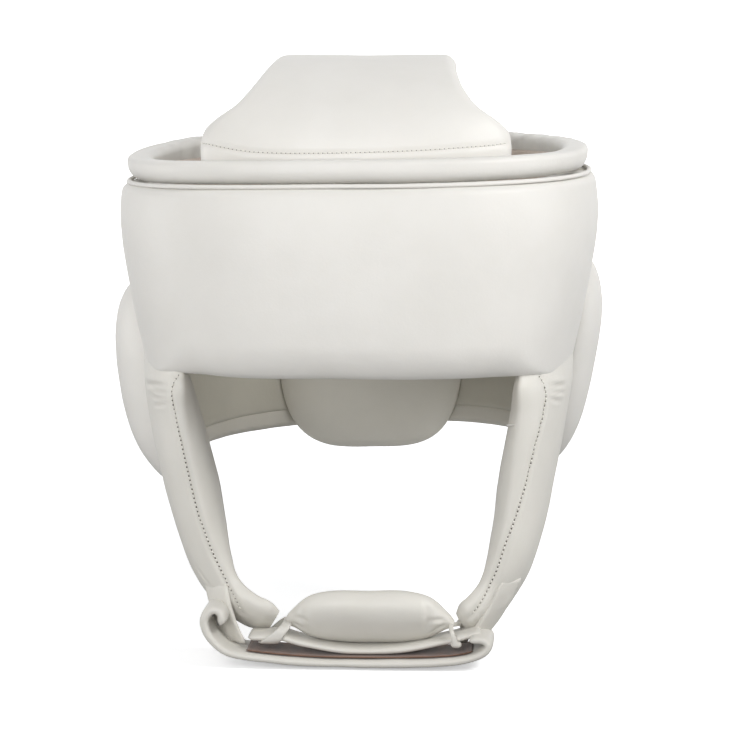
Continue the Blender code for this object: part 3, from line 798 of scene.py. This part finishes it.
def make_rim():
    angles = even_angles(0, 360, 300, -RIM_DROP, closed=True)
    rim = band(
        "rim_roll", angles, RIM_INSET, RIM_THICKNESS, rim_top, rim_bottom, 48,
        lambda degrees: ((0.0030, 0.0026), (0.0050, 0.0045), (0.0040, 0.0035), (0.0058, 0.0066)),
        MATERIALS["pad"], "pad_leather", closed=True, slant=0.0013,
    )
    points = places_of(rim)
    turn = np.degrees(np.arctan2(points[:, 0], -points[:, 1]))
    inner = np.hypot(points[:, 0], points[:, 1]) < np.hypot(*plan_point(turn, points[:, 2])[:, :2].T) - 0.009
    corner = np.exp(-((np.abs(np.abs(turn) - 140) / 28) ** 2))
    gathers = 0.00075 * np.sin(np.radians(turn) * 46 + 2.0 * lumps(points, 0.02, 5))
    push(rim, np.where(inner, gathers * corner, 0.25 * gathers * corner))
    widening = 0.0020 * np.exp(-(((turn + 88) / 20) ** 2))
    push(rim, widening, np.tile((-1.0, 0.0, 0.0), (len(points), 1)))
    soften(rim, 0.00035, 0.00012, 11)
    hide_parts("top_rim")
    return rim


def make_piping():
    angles = even_angles(0, 360, 360, -RIM_DROP, closed=True)
    radius = PIPING_DIAMETER / 2
    turns = np.linspace(0, 2 * math.pi, 17)[:-1]
    rings = []
    for degrees in angles:
        level = float(rim_bottom(degrees)) - radius / 2 - 0.0003
        u = radius * np.cos(turns)
        v = radius * 0.8 * np.sin(turns)
        rings.append(wall_point(degrees, level + v, 0.0014 + radius - u))
    piping = loft("welt_cord", rings, MATERIALS["pad"], "pad_leather", closed=True)
    soften(piping, 0.0001, 0.00008, 21, 0.02, 0.004)
    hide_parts("rim_piping")


def make_forehead():
    angles = ended(even_angles(-FOREHEAD_END_DEG, FOREHEAD_END_DEG, 170, -0.09), 2.2)

    def corners(degrees):
        side = float(smooth_step(abs(degrees), 36.0, 56.0))
        roll = (0.0105 - 0.0088 * side, 0.0170 - 0.0150 * side)
        inner = (0.0085 - 0.0050 * side, 0.0100 - 0.0060 * side)
        return (0.0042, 0.0040), (0.0055, 0.0050), inner, roll

    pad = band(
        "forehead_cushion", angles, 0, FOREHEAD_THICKNESS, pad_top, forehead_bottom, 140, corners,
        MATERIALS["pad"], "pad_leather", round_deg=2.2, bulge=0.0008,
    )
    soften(pad, 0.00055, 0.00010, 31, 0.045, 0.012)
    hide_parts("forehead_pad")
    return pad


def make_back():
    angles = ended(even_angles(BACK_START_DEG, 360 - BACK_START_DEG, 150, -0.10), 2.0)
    # The back band's darker leather paints the shade of the inside.
    back = band(
        "back_cushion", angles, 0, BACK_THICKNESS, pad_top, back_bottom, 110,
        lambda degrees: ((0.0040, 0.0040), (0.0050, 0.0050), (0.0022, 0.0026), (0.0022, 0.0026)),
        MATERIALS["inside"], "pad_leather", round_deg=2.0, bulge=0.0008,
    )
    soften(back, 0.0004, 0.0001, 41, 0.04, 0.012)
    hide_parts("back_band")
    # The hem's darker leather paints the shade of the inside.
    hem = band(
        "hem_roll", angles, (BACK_THICKNESS - HEM_THICKNESS) / 2, HEM_THICKNESS,
        lambda degrees: back_bottom(degrees) + 0.0012,
        lambda degrees: back_bottom(degrees) - 0.0003 - HEM_HEIGHT, 40,
        lambda degrees: ((0.0020, 0.0016), (0.0020, 0.0016), (0.0050, 0.0042), (0.0050, 0.0042)),
        MATERIALS["hem"], "pad_leather", round_deg=2.0,
    )
    soften(hem, 0.0003, 0.00012, 43, 0.02, 0.006)
    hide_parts("back_hem")
    return back


def make_linings():
    for side, sign in (("left", -1), ("right", 1)):
        angles = ended(even_angles(sign * 97.0, sign * 146.0, 60, -0.05), 2.5)
        section = unit_section(48, 0.0008, 0.015, (4.0, 4.0, 4.0, 4.0))
        inset = RIM_INSET + RIM_THICKNESS + 0.0003
        sizes = end_sizes(angles * sign, 2.5)
        rings = []
        for degrees, size in zip(angles, sizes):
            middle = float(rim_bottom(degrees)) + 0.0055 - 0.015
            levels = middle + section[:, 1] * 0.015 * (0.9 + 0.1 * size)
            rings.append(wall_point(degrees, levels, inset + 0.0008 * (1 - section[:, 0] * size)))
        lining = loft(f"lining_{side}", rings, MATERIALS["lining"], "lining_cloth")
        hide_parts(f"side_lining_{side}")


def crown_points(along, x, depth):
    """Points of the crown pad: along its arch, across the head, under its outer face."""
    x = np.asarray(x, float)
    depth = np.asarray(depth, float)
    rear = along > 1
    inset = RIM_INSET + RIM_THICKNESS + 0.0014
    sweep = np.linspace(90, 180, 721) if rear else np.linspace(90, 0, 721)
    edge = wall_point(sweep, -RIM_DROP - RIM_HEIGHT * 0.25, inset)
    order = np.argsort(edge[:, 0])
    rim_y = np.interp(np.abs(x), edge[order, 0], edge[order, 1])
    middle_y = np.interp(0, edge[order, 0], edge[order, 1])
    turn = math.radians(90 * min(max(along, 0), 2))
    below = max(0, -along, along - 2) * CROWN_TUCK / CROWN_TUCK_ALONG
    reach = abs(middle_y) - depth
    y = -reach * math.cos(turn) + (rim_y - middle_y) * abs(math.cos(turn)) ** 1.5
    z = -RIM_DROP + (RIM_DROP + CROWN_THICKNESS - depth) * math.sin(turn) - below
    return np.stack([x, y, z], axis=-1)


def make_crown():
    places = np.concatenate([
        -0.12 + 0.03 * (1 - np.cos(np.linspace(0, math.pi / 2, 7))),
        np.linspace(-0.09, 2.09, 150)[1:-1],
        2.12 - 0.03 * (1 - np.cos(np.linspace(0, math.pi / 2, 7)))[::-1],
    ])
    rings = []
    for along in places:
        near = min(along + 0.12, 2.12 - along) / 0.03
        size = math.sqrt(max(1 - max(0, 1 - near) ** 2, 0.02))
        half_width = CROWN_HALF_WIDTH * float(column(CROWN_SECTIONS, 1, along))
        thickness = CROWN_THICKNESS * float(column(CROWN_SECTIONS, 2, along))
        edge = thickness * 0.42
        section = padded_section(140, 2 * half_width, thickness, ((edge, edge),) * 4)
        x = CROWN_CENTRE_X + section[:, 0] * (0.98 + 0.02 * size)
        depth = thickness / 2 - section[:, 1] * size
        rings.append(crown_points(along, x, depth))
    crown = loft("crown_cushion", rings, MATERIALS["pad"], "pad_leather")
    soften(crown, 0.0005, 0.0001, 51, 0.04, 0.012)
    line = [(202, 143), (212, 145), (225, 148), (240, 150.5), (260, 152.5), (300, 153.5),
            (360, 152.5), (420, 150.5), (470, 147), (495, 145), (508, 142.5)]
    # The front seam's groove gets painted shade.
    points, normals = seam_seen(crown, line, 0.0012, 0.00035, lip=0.5, soil=0.10)
    stitches("crown_stitches_front", points, normals, radius=0.00026)
    rear_x = np.linspace(-0.050, 0.0535, 60)
    rear = np.concatenate([crown_points(1.90 + 0.02 * abs(x) / 0.05, [x], [0.0]) for x in rear_x])
    # The rear seam's groove gets painted shade.
    crease(crown, rear, 0.0012, 0.00035, lip=0.5, soil=0.10)
    stitches("crown_stitches_rear", *settle(crown, rear), radius=0.00026)
    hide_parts("crown_pad")
    return crown


def cushion(name, centre_deg, centre_z, length, height, inset, bulge, power, material, slot_name):
    """A domed pad on the wall."""
    count = 96
    fine = unit_section(count, length / 2, height / 2, (power,) * 4)
    dome = np.sin(np.linspace(0, math.pi / 2, 30)[1:]) ** 0.9
    dome = np.concatenate([dome[:-1], 1 - 0.03 * (1 - np.linspace(0, 1, 5)) ** 2])
    dome = np.unique(np.round(dome, 5))
    base = np.array((0.97, 0.85, 0.6, 0.3))
    rings = []

    def ring(share, rise):
        u, v = fine[:, 0] * length / 2, fine[:, 1] * height / 2
        degrees = centre_deg + np.degrees(share * u / HALF_WIDTH)
        return wall_point(degrees, centre_z + share * v, inset - rise)

    rings.append(ring(0.004, bulge))
    for share in dome:
        rise = bulge * (1 - share ** 2.6) ** 0.62
        rings.append(ring(share, np.full(count, rise)))
    for share in base:
        rings.append(ring(share, np.zeros(count)))
    rings.append(ring(0.004, np.zeros(count)))
    return loft(name, rings, material, slot_name)


def make_ears():
    bulge = {"left": 0.0277, "right": 0.0165}
    drop = {"left": 0.1525, "right": 0.1405}
    centre = {"left": 107.0, "right": 111.0}
    length = {"left": 0.0680, "right": 0.0740}
    height = {"left": 0.1140, "right": 0.1090}
    for side, sign in (("left", -1), ("right", 1)):
        ear = cushion(
            f"ear_cushion_{side}", sign * centre[side], -drop[side], length[side], height[side],
            -0.0007, bulge[side], 2.5, MATERIALS["pad"], "pad_leather",
        )
        soften(ear, 0.0006, 0.0001, 61 if sign < 0 else 67, 0.035, 0.010)
        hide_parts(f"ear_pad_{side}")


def make_neck():
    neck = cushion(
        "neck_cushion", 181, -0.1955 + 0.053, 0.1340, 0.1060, BACK_THICKNESS + 0.0007, -0.0220, 3.0,
        MATERIALS["nape"], "pad_leather",
    )
    soften(neck, 0.0006, 0.0001, 71, 0.035, 0.010)
    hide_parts("neck_pad")


def cheek_axes(side, drop):
    """Middle, outward axis and lengthwise axis of a cheek pad's section."""
    sign = -1 if side == "left" else 1

    def share(name):
        return float(column(CHEEK_SECTIONS, CHEEK_NAMES.index(name), drop))

    x = CHEEK_TOP_X + (CHEEK_TIP_X[side] - CHEEK_TOP_X) * share(f"inward_{side}")
    y = CHEEK_TOP_Y - CHEEK_FORWARD * share("forward")
    z = -RIM_DROP - RIM_HEIGHT - PIPING_DIAMETER - FOREHEAD_HEIGHT - 0.0003 - drop * CHEEK_LENGTH
    lean = math.radians(share("lean"))
    yaw = math.radians(share("yaw"))
    across = np.array((sign * math.cos(lean), 0, -math.sin(lean)))
    rearward = np.array((0, 1.0, 0))
    long_axis = rearward * math.cos(yaw) + across * math.sin(yaw)
    thin_axis = across * math.cos(yaw) - rearward * math.sin(yaw)
    thickness = CHEEK_THICKNESS * share("thickness")
    depth = CHEEK_DEPTH * share("depth")
    return np.array((sign * x, y, z)), thin_axis, long_axis, thickness, depth


def make_cheek(side, seam, creases):
    drops = np.concatenate([
        np.linspace(-0.07, 0.0, 10)[:-1],
        np.linspace(0.0, 0.985, 112)[:-1],
        1.0 - 0.015 * (1 - np.cos(np.linspace(0, math.pi / 2, 7)))[::-1],
    ])
    section = unit_section(88, CHEEK_DEPTH / 3.4, CHEEK_THICKNESS / 2, (2.7, 2.7, 2.7, 2.7))
    rings = []
    for drop in drops:
        middle, thin_axis, long_axis, thickness, depth = cheek_axes(side, drop)
        inner_side = np.clip(CHEEK_SEAM_AT - section[:, 1], 0, None)
        wedge = CHEEK_WEDGE * float(np.interp(drop, (-0.07, 0.0, 0.6, 0.85), (1.2, 1.2, 0.9, 0.1)))
        back_by = wedge * inner_side * (1 - section[:, 0]) / 2
        u = section[:, 0] * depth / 2 + back_by
        v = section[:, 1] * thickness / 2
        bow = CHEEK_BOW * depth * (1 - (2 * u / depth) ** 2)
        fuller = float(np.interp(drop, (0.0, 0.15, 0.5, 0.8, 0.95), CHEEK_INNER_FULLNESS[side]))
        v = v + np.where(v < 0, v * fuller, 0)
        rings.append(middle + u[:, None] * long_axis + (v + bow)[:, None] * thin_axis)
    leg = loft(f"cheek_cushion_{side}", rings, MATERIALS["leg"], "pad_leather")
    soften(leg, 0.0006, 0.0001, 81 if side == "left" else 87, 0.030, 0.010)
    # Folds and the stitched seam, with painted shade in their grooves.
    for line, width, depth in creases:
        points, _ = seen_on(leg, smooth_line(line, 6))
        if len(points) > 2:
            crease(leg, points, width, depth, lip=0.5, soil=0.10, fade=0.35)
    points, normals = seam_seen(leg, seam, 0.0012, 0.0007, lip=0.5, soil=0.10)
    stitches(f"cheek_stitches_{side}", points, normals)
    # Painted shade on the inward-facing panel near the top, under the forehead cushion's roll.
    places, facing = places_of(leg), normals_of(leg)
    inward = np.clip(facing[:, 0] * (1 if side == "left" else -1) * 1.6, 0, 1)
    high = smooth_step(places[:, 2], -0.172, -0.142)
    add_soil(leg, 0.42 * inward * high)
    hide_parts(f"cheek_pad_{side}")
    return leg


def make_cheeks():
    left = make_cheek(
        "left",
        [(178, 375), (174, 381), (171.5, 389), (172, 400), (174, 412), (177, 425), (181, 442), (185, 460),
         (191, 485), (197, 510), (207, 540), (221, 570), (230, 590), (237, 603), (242, 613)],
        [([(146, 384), (158, 385), (171, 386)], 0.0012, 0.0009),
         ([(151, 390), (162, 392), (171, 391)], 0.0010, 0.0008),
         ([(152, 397), (162, 398), (170, 395)], 0.0010, 0.0006),
         ([(153, 405), (163, 404), (171, 401)], 0.0010, 0.0005),
         ([(196, 566), (204, 578), (210, 586)], 0.0010, 0.0006)],
    )
    right = make_cheek(
        "right",
        [(540, 377), (543.5, 382), (546, 391), (546, 400), (544, 412), (541, 425), (533, 455), (526, 485),
         (515, 520), (505, 545), (497, 570), (490, 585), (483, 600), (476, 610), (470, 618)],
        [([(547, 384), (557, 386), (566, 385)], 0.0012, 0.0009),
         ([(547, 390), (557, 392), (566, 392)], 0.0010, 0.0008),
         ([(547, 396), (555, 400), (562, 401)], 0.0010, 0.0005),
         ([(472, 616), (476, 620), (480, 624)], 0.0009, 0.0006),
         ([(468, 620), (473, 623), (476, 627)], 0.0009, 0.0005),
         ([(478, 611), (482, 617), (484, 622)], 0.0009, 0.0005)],
    )
    return left, right


def make_chin_pad():
    tilt = math.radians(CHIN_TILT_DEG)
    high_axis = np.array((0, -math.cos(tilt), math.sin(tilt)))
    thin_axis = np.array((0, -math.sin(tilt), -math.cos(tilt)))
    section = unit_section(56, CHIN_HALF_HEIGHT, CHIN_HALF_THICKNESS, (2.3, 2.3, 2.3, 2.3))
    rings = []
    for along in -np.cos(np.linspace(0, math.pi, 80)):
        height = CHIN_HALF_HEIGHT * float(column(CHIN_SECTIONS, 1, along))
        thickness = CHIN_HALF_THICKNESS * float(column(CHIN_SECTIONS, 2, along))
        lift = CHIN_HALF_HEIGHT * float(column(CHIN_SECTIONS, 3, along))
        middle = CHIN_CENTRE + np.array((along * CHIN_HALF_WIDTH, 0, lift))
        rings.append(
            middle + section[:, :1] * height * high_axis + section[:, 1:] * thickness * thin_axis
        )
    pad = loft("chin_cushion", rings, MATERIALS["leg"], "pad_leather")
    soften(pad, 0.0004, 0.0001, 91, 0.02, 0.007)
    # Creases, with painted shade in them.
    for line, width, depth in (
        ([(306, 603), (303, 612), (304, 622), (309, 632)], 0.0014, 0.0007),
        ([(424, 599), (428, 608), (428, 620), (424, 632)], 0.0014, 0.0007),
        ([(292, 616), (300, 618), (310, 622)], 0.0010, 0.0006),
        ([(292, 622), (300, 626), (308, 632)], 0.0010, 0.0005),
        ([(446, 620), (436, 620), (426, 622)], 0.0010, 0.0005),
        ([(446, 624), (438, 628), (430, 634)], 0.0010, 0.0005),
    ):
        points, _ = seen_on(pad, smooth_line(line, 6))
        if len(points) > 2:
            crease(pad, points, width, depth, lip=0.5, soil=0.06, fade=0.3)
    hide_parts("chin_pad")


def strap_line(rows, per_span=10):
    corners = [
        (STRAP_CENTRE_X + across * STRAP_HALF_SPAN, STRAP_Y, -STRAP_LOW_DROP + rise * STRAP_RISE)
        for across, rise in rows
    ]
    return smooth_line(corners, per_span)


def sweep(name, line, half_width, half_thickness, section, material, slot_name, wide_axis=(0, 1, 0), offset=0.0):
    """A flat strap along a line, its width along wide_axis, rounded off at both ends."""
    wide_axis = np.asarray(wide_axis, float)
    line = even_line(np.asarray(line), 0.0011)
    ahead = np.gradient(line, axis=0)
    ahead /= np.linalg.norm(ahead, axis=1, keepdims=True)
    thin = np.cross(ahead, wide_axis)
    thin /= np.linalg.norm(thin, axis=1, keepdims=True)
    run = np.concatenate([[0], np.cumsum(np.linalg.norm(np.diff(line, axis=0), axis=1))])
    near = np.minimum(run, run[-1] - run)
    rounding = max(half_thickness * 1.2, 0.0012)
    size = np.sqrt(np.clip(1 - (1 - np.clip(near / rounding, 0, 1)) ** 2, 0.03, 1))
    wide_size = 0.90 + 0.10 * size
    rings = [
        line[i] + thin[i] * offset
        + section[:, :1] * half_width * wide_size[i] * wide_axis
        + section[:, 1:] * half_thickness * size[i] * thin[i]
        for i in range(len(line))
    ]
    return loft(name, rings, material, slot_name)


def make_straps():
    outer_line = strap_line(OUTER_STRAP_LINE)
    section = unit_section(64, OUTER_STRAP_WIDTH / 2, OUTER_STRAP_THICKNESS / 2, (3.2,) * 4)
    outer = sweep(
        "chin_strap_outer", outer_line, OUTER_STRAP_WIDTH / 2, OUTER_STRAP_THICKNESS / 2, section,
        MATERIALS["strap"], "strap_leather",
    )
    soften(outer, 0.0003, 0.00012, 101, 0.018, 0.006)
    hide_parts("outer_chin_strap")
    inner_line = strap_line(INNER_STRAP_LINE)
    section = unit_section(48, INNER_STRAP_WIDTH / 2, INNER_STRAP_THICKNESS / 2, (3.0,) * 4)
    inner = sweep(
        "chin_strap_inner", inner_line, INNER_STRAP_WIDTH / 2, INNER_STRAP_THICKNESS / 2, section,
        MATERIALS["strap"], "strap_leather",
    )
    soften(inner, 0.0002, 0.0001, 105, 0.015, 0.005)
    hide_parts("inner_chin_strap")
    part = outer_line[(outer_line[:, 0] > -0.050) & (outer_line[:, 0] < 0.060) & (outer_line[:, 2] < -0.262)]
    section = unit_section(48, 0.0125, 0.0004, (4.0,) * 4)
    lining = sweep(
        "strap_lining", part, 0.0140, 0.0004, section, MATERIALS["strap_lining"], "lining_cloth",
        offset=OUTER_STRAP_THICKNESS / 2 + 0.0003,
    )
    return outer, inner, lining


def make_tabs():
    thickness_of = {"left": 0.0034, "right": 0.0028}
    width = {"left": 0.0165, "right": 0.0130}
    seat_share = {"left": 0.66, "right": 0.70}
    length = {"left": 0.0315, "right": 0.0300}
    top = {"left": 0.83, "right": 0.80}
    back = {"left": 0.30, "right": 0.24}
    lean_deg = {"left": 24.0, "right": 31.0}
    sunk = {"left": 0.0038, "right": 0.0016}
    for side in ("left", "right"):
        middle, thin_axis, long_axis, thickness, depth = cheek_axes(side, top[side])
        seat = seat_share[side] * thickness / 2 + CHEEK_BOW * depth + thickness_of[side] / 2
        inward = 1 if side == "left" else -1
        lean = math.radians(lean_deg[side])
        down = np.array((inward * math.sin(lean), 0, -math.cos(lean)))
        turn = math.radians(45)
        wide_axis = np.array((-inward * math.sin(turn), math.cos(turn), 0))
        outward = np.array((-inward * math.cos(turn), -math.sin(turn), 0))
        start = middle + thin_axis * seat - long_axis * depth * back[side]
        line = []
        for share in np.linspace(0, 1, 24):
            swell = 0.0012 * math.sin(math.pi * share) - sunk[side] * (1 - share) ** 2
            line.append(start + down * length[side] * share + outward * swell)
        half_width, half_thickness = width[side] / 2, thickness_of[side] / 2
        section = unit_section(56, half_width, half_thickness, (4.0,) * 4)
        tab = sweep(
            f"tab_{side}", np.array(line), half_width, half_thickness, section, MATERIALS["strap"],
            "strap_leather", wide_axis=wide_axis,
        )
        soften(tab, 0.0007, 0.0003, 111 if side == "left" else 115, 0.012, 0.005)
        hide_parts(f"closure_tab_{side}")


def make_loops():
    """Leather loops from the chin pad's ends round the inner strap."""
    inner = strap_line(INNER_STRAP_LINE)
    width = {"left": 0.0105, "right": 0.0026}
    top_share = {"left": 0.45, "right": 0.9}
    x_of = {"left": -0.0359, "right": 0.0504}
    rise = {"left": 0.0095, "right": 0.0090}
    shear = {"left": 0.93, "right": -0.34}
    thickness = {"left": 0.0007, "right": 0.0010}
    rear_shift = {"left": 0.0, "right": 0.0035}
    for side in ("left", "right"):
        middle_z = float(np.interp(x_of[side], inner[:, 0], inner[:, 2]))
        low = middle_z - INNER_STRAP_THICKNESS / 2 - 0.0013
        high = low + rise[side]
        section = unit_section(20, width[side] / 2, thickness[side], (3.0,) * 4)
        rings = []
        for turn in np.linspace(0, 2 * math.pi, 65)[:-1]:
            y = signed_power(math.cos(turn), 0.6) * (INNER_STRAP_WIDTH / 2 + 0.0016)
            up = (1 + signed_power(math.sin(turn), 0.6)) / 2
            z = low + (high - low) * up
            across = width[side] / 2 * (1 - (1 - top_share[side]) * up)
            x = x_of[side] + shear[side] * (z - middle_z) + rear_shift[side] * (y > 0)
            outward = np.array((0, math.cos(turn), math.sin(turn)))
            knob = 1.0
            if side == "right":
                knob = 1 + 0.9 * math.exp(-(((math.degrees(turn) - 215) / 16) ** 2))
            rings.append(
                np.array((x, STRAP_Y + y, z))
                + section[:, :1] * across * knob * np.array((1.0, 0, 0))
                + section[:, 1:] * thickness[side] * knob * outward
            )
        loop = loft(f"loop_{side}", rings, MATERIALS["strap"], "strap_leather", closed=True)
        soften(loop, 0.0003, 0.0001, 121 if side == "left" else 125, 0.006, 0.003)
        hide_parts(f"chin_loop_{side}")


def patch_seen(name, piece, rows, lift, material, slot_name, columns=9):
    """A thin flap on a piece, between the left and right edges that rows gives in the picture."""
    rows = smooth_line(rows, 5)
    rings = []
    for left, right, down in rows:
        places = [(left + (right - left) * k / (columns - 1), down) for k in range(columns)]
        points, normals = seen_on(piece, places)
        if len(points) < columns:
            continue
        share = np.linspace(-1, 1, columns)
        height = lift * (1 - np.abs(share) ** 4)[:, None]
        rings.append(np.concatenate([points + normals * height, (points - normals * 0.0006)[::-1]]))
    return loft(name, rings, material, slot_name)


def make_tongue(leg):
    """The end of a sewn strip on the inner panel of the right cheek pad."""
    rows = [(512.5, 529.0, 379.0), (511.5, 529.5, 388.0), (510.5, 529.0, 398.0), (509.0, 526.5, 408.0),
            (507.5, 522.5, 417.0), (507.8, 517.5, 423.0), (509.5, 513.5, 426.0)]
    patch_seen("inner_tongue", leg, rows, 0.0020, MATERIALS["pad"], "pad_leather")


def make_stage():
    """A pale floor that curves up into a backdrop."""
    profile = [(-3.0, 0.0), (1.6, 0.0)]
    for k in range(1, 17):
        turn = math.pi / 2 * k / 16
        profile.append((1.6 + 1.2 * math.sin(turn), 1.2 * (1 - math.cos(turn))))
    profile.append((2.8, 5.0))
    floor_z = cad_box[0][2]
    points = []
    for y, z in profile:
        points += [(-5.0, y, z + floor_z), (5.0, y, z + floor_z)]
    faces = [(2 * i, 2 * i + 1, 2 * i + 3, 2 * i + 2) for i in range(len(profile) - 1)]
    mesh = bpy.data.meshes.new("floor")
    mesh.from_pydata(points, [], faces)
    mesh.shade_smooth()
    floor = bpy.data.objects.new("floor", mesh)
    bpy.context.collection.objects.link(floor)
    material, tree, shader = shader_of("paper")
    coordinates = tree.nodes.new("ShaderNodeTexCoord").outputs["Object"]
    apart = tree.nodes.new("ShaderNodeSeparateXYZ")
    link(tree, coordinates, apart.inputs["Vector"])
    glow = tree.nodes.new("ShaderNodeMapRange")
    glow.inputs["From Min"].default_value = 0.35
    glow.inputs["From Max"].default_value = 1.5
    glow.inputs["To Max"].default_value = 0.8
    glow.inputs["To Min"].default_value = 0.0
    link(tree, apart.outputs["Y"], glow.inputs["Value"])
    seen = tree.nodes.new("ShaderNodeLightPath").outputs["Is Camera Ray"]
    lift = tree.nodes.new("ShaderNodeMath")
    lift.operation = "MULTIPLY_ADD"
    link(tree, seen, lift.inputs[0])
    lift.inputs[1].default_value = 0.42
    link(tree, glow.outputs["Result"], lift.inputs[2])
    link(tree, lift.outputs["Value"], shader.inputs["Emission Strength"])
    shader.inputs["Emission Color"].default_value = (1, 1, 1, 1)
    tone = noise_node(tree, coordinates, 3.0, 2.0)
    paper = mix_colours(tree, tone, (0.935, 0.94, 0.95), (0.95, 0.955, 0.965))
    link(tree, mix_colours(tree, seen, (0.42, 0.42, 0.42), paper), shader.inputs["Base Color"])
    shader.inputs["Roughness"].default_value = 0.9
    shader.inputs["Specular IOR Level"].default_value = 0.1
    mesh.materials.append(material)


def area_light(name, place, target, size, power, colour=(1, 1, 1)):
    data = bpy.data.lights.new(name, "AREA")
    data.shape = "DISK"
    data.size = size
    data.energy = power
    data.color = colour
    light = bpy.data.objects.new(name, data)
    place = Vector(place)
    light.matrix_world = (
        Matrix.Translation(place)
        @ (Vector(target) - place).to_track_quat("-Z", "Y").to_matrix().to_4x4()
    )
    bpy.context.collection.objects.link(light)


def make_lights():
    world = bpy.data.worlds.new("studio")
    world.use_nodes = True
    world.node_tree.nodes["Background"].inputs["Color"].default_value = (0.97, 0.98, 1.0, 1)
    world.node_tree.nodes["Background"].inputs["Strength"].default_value = 0.26
    bpy.context.scene.world = world
    bpy.context.scene.view_settings.view_transform = "Standard"
    centre = (0, 0, -0.13)
    area_light("key", (-0.33, -1.80, 0.42), centre, 1.3, 19)
    area_light("side", (1.17, -0.62, 1.02), centre, 0.8, 15)
    area_light("fill_left", (-1.9, -0.05, 0.0), centre, 1.2, 13)
    area_light("fill_right", (1.9, -0.05, 0.05), centre, 1.0, 7)


make_camera()
make_rim()
make_piping()
make_forehead()
make_back()
make_linings()
make_crown()
make_ears()
make_neck()
left_leg, right_leg = make_cheeks()
make_tongue(right_leg)
make_chin_pad()
make_straps()
make_tabs()
make_loops()
make_stage()
make_lights()
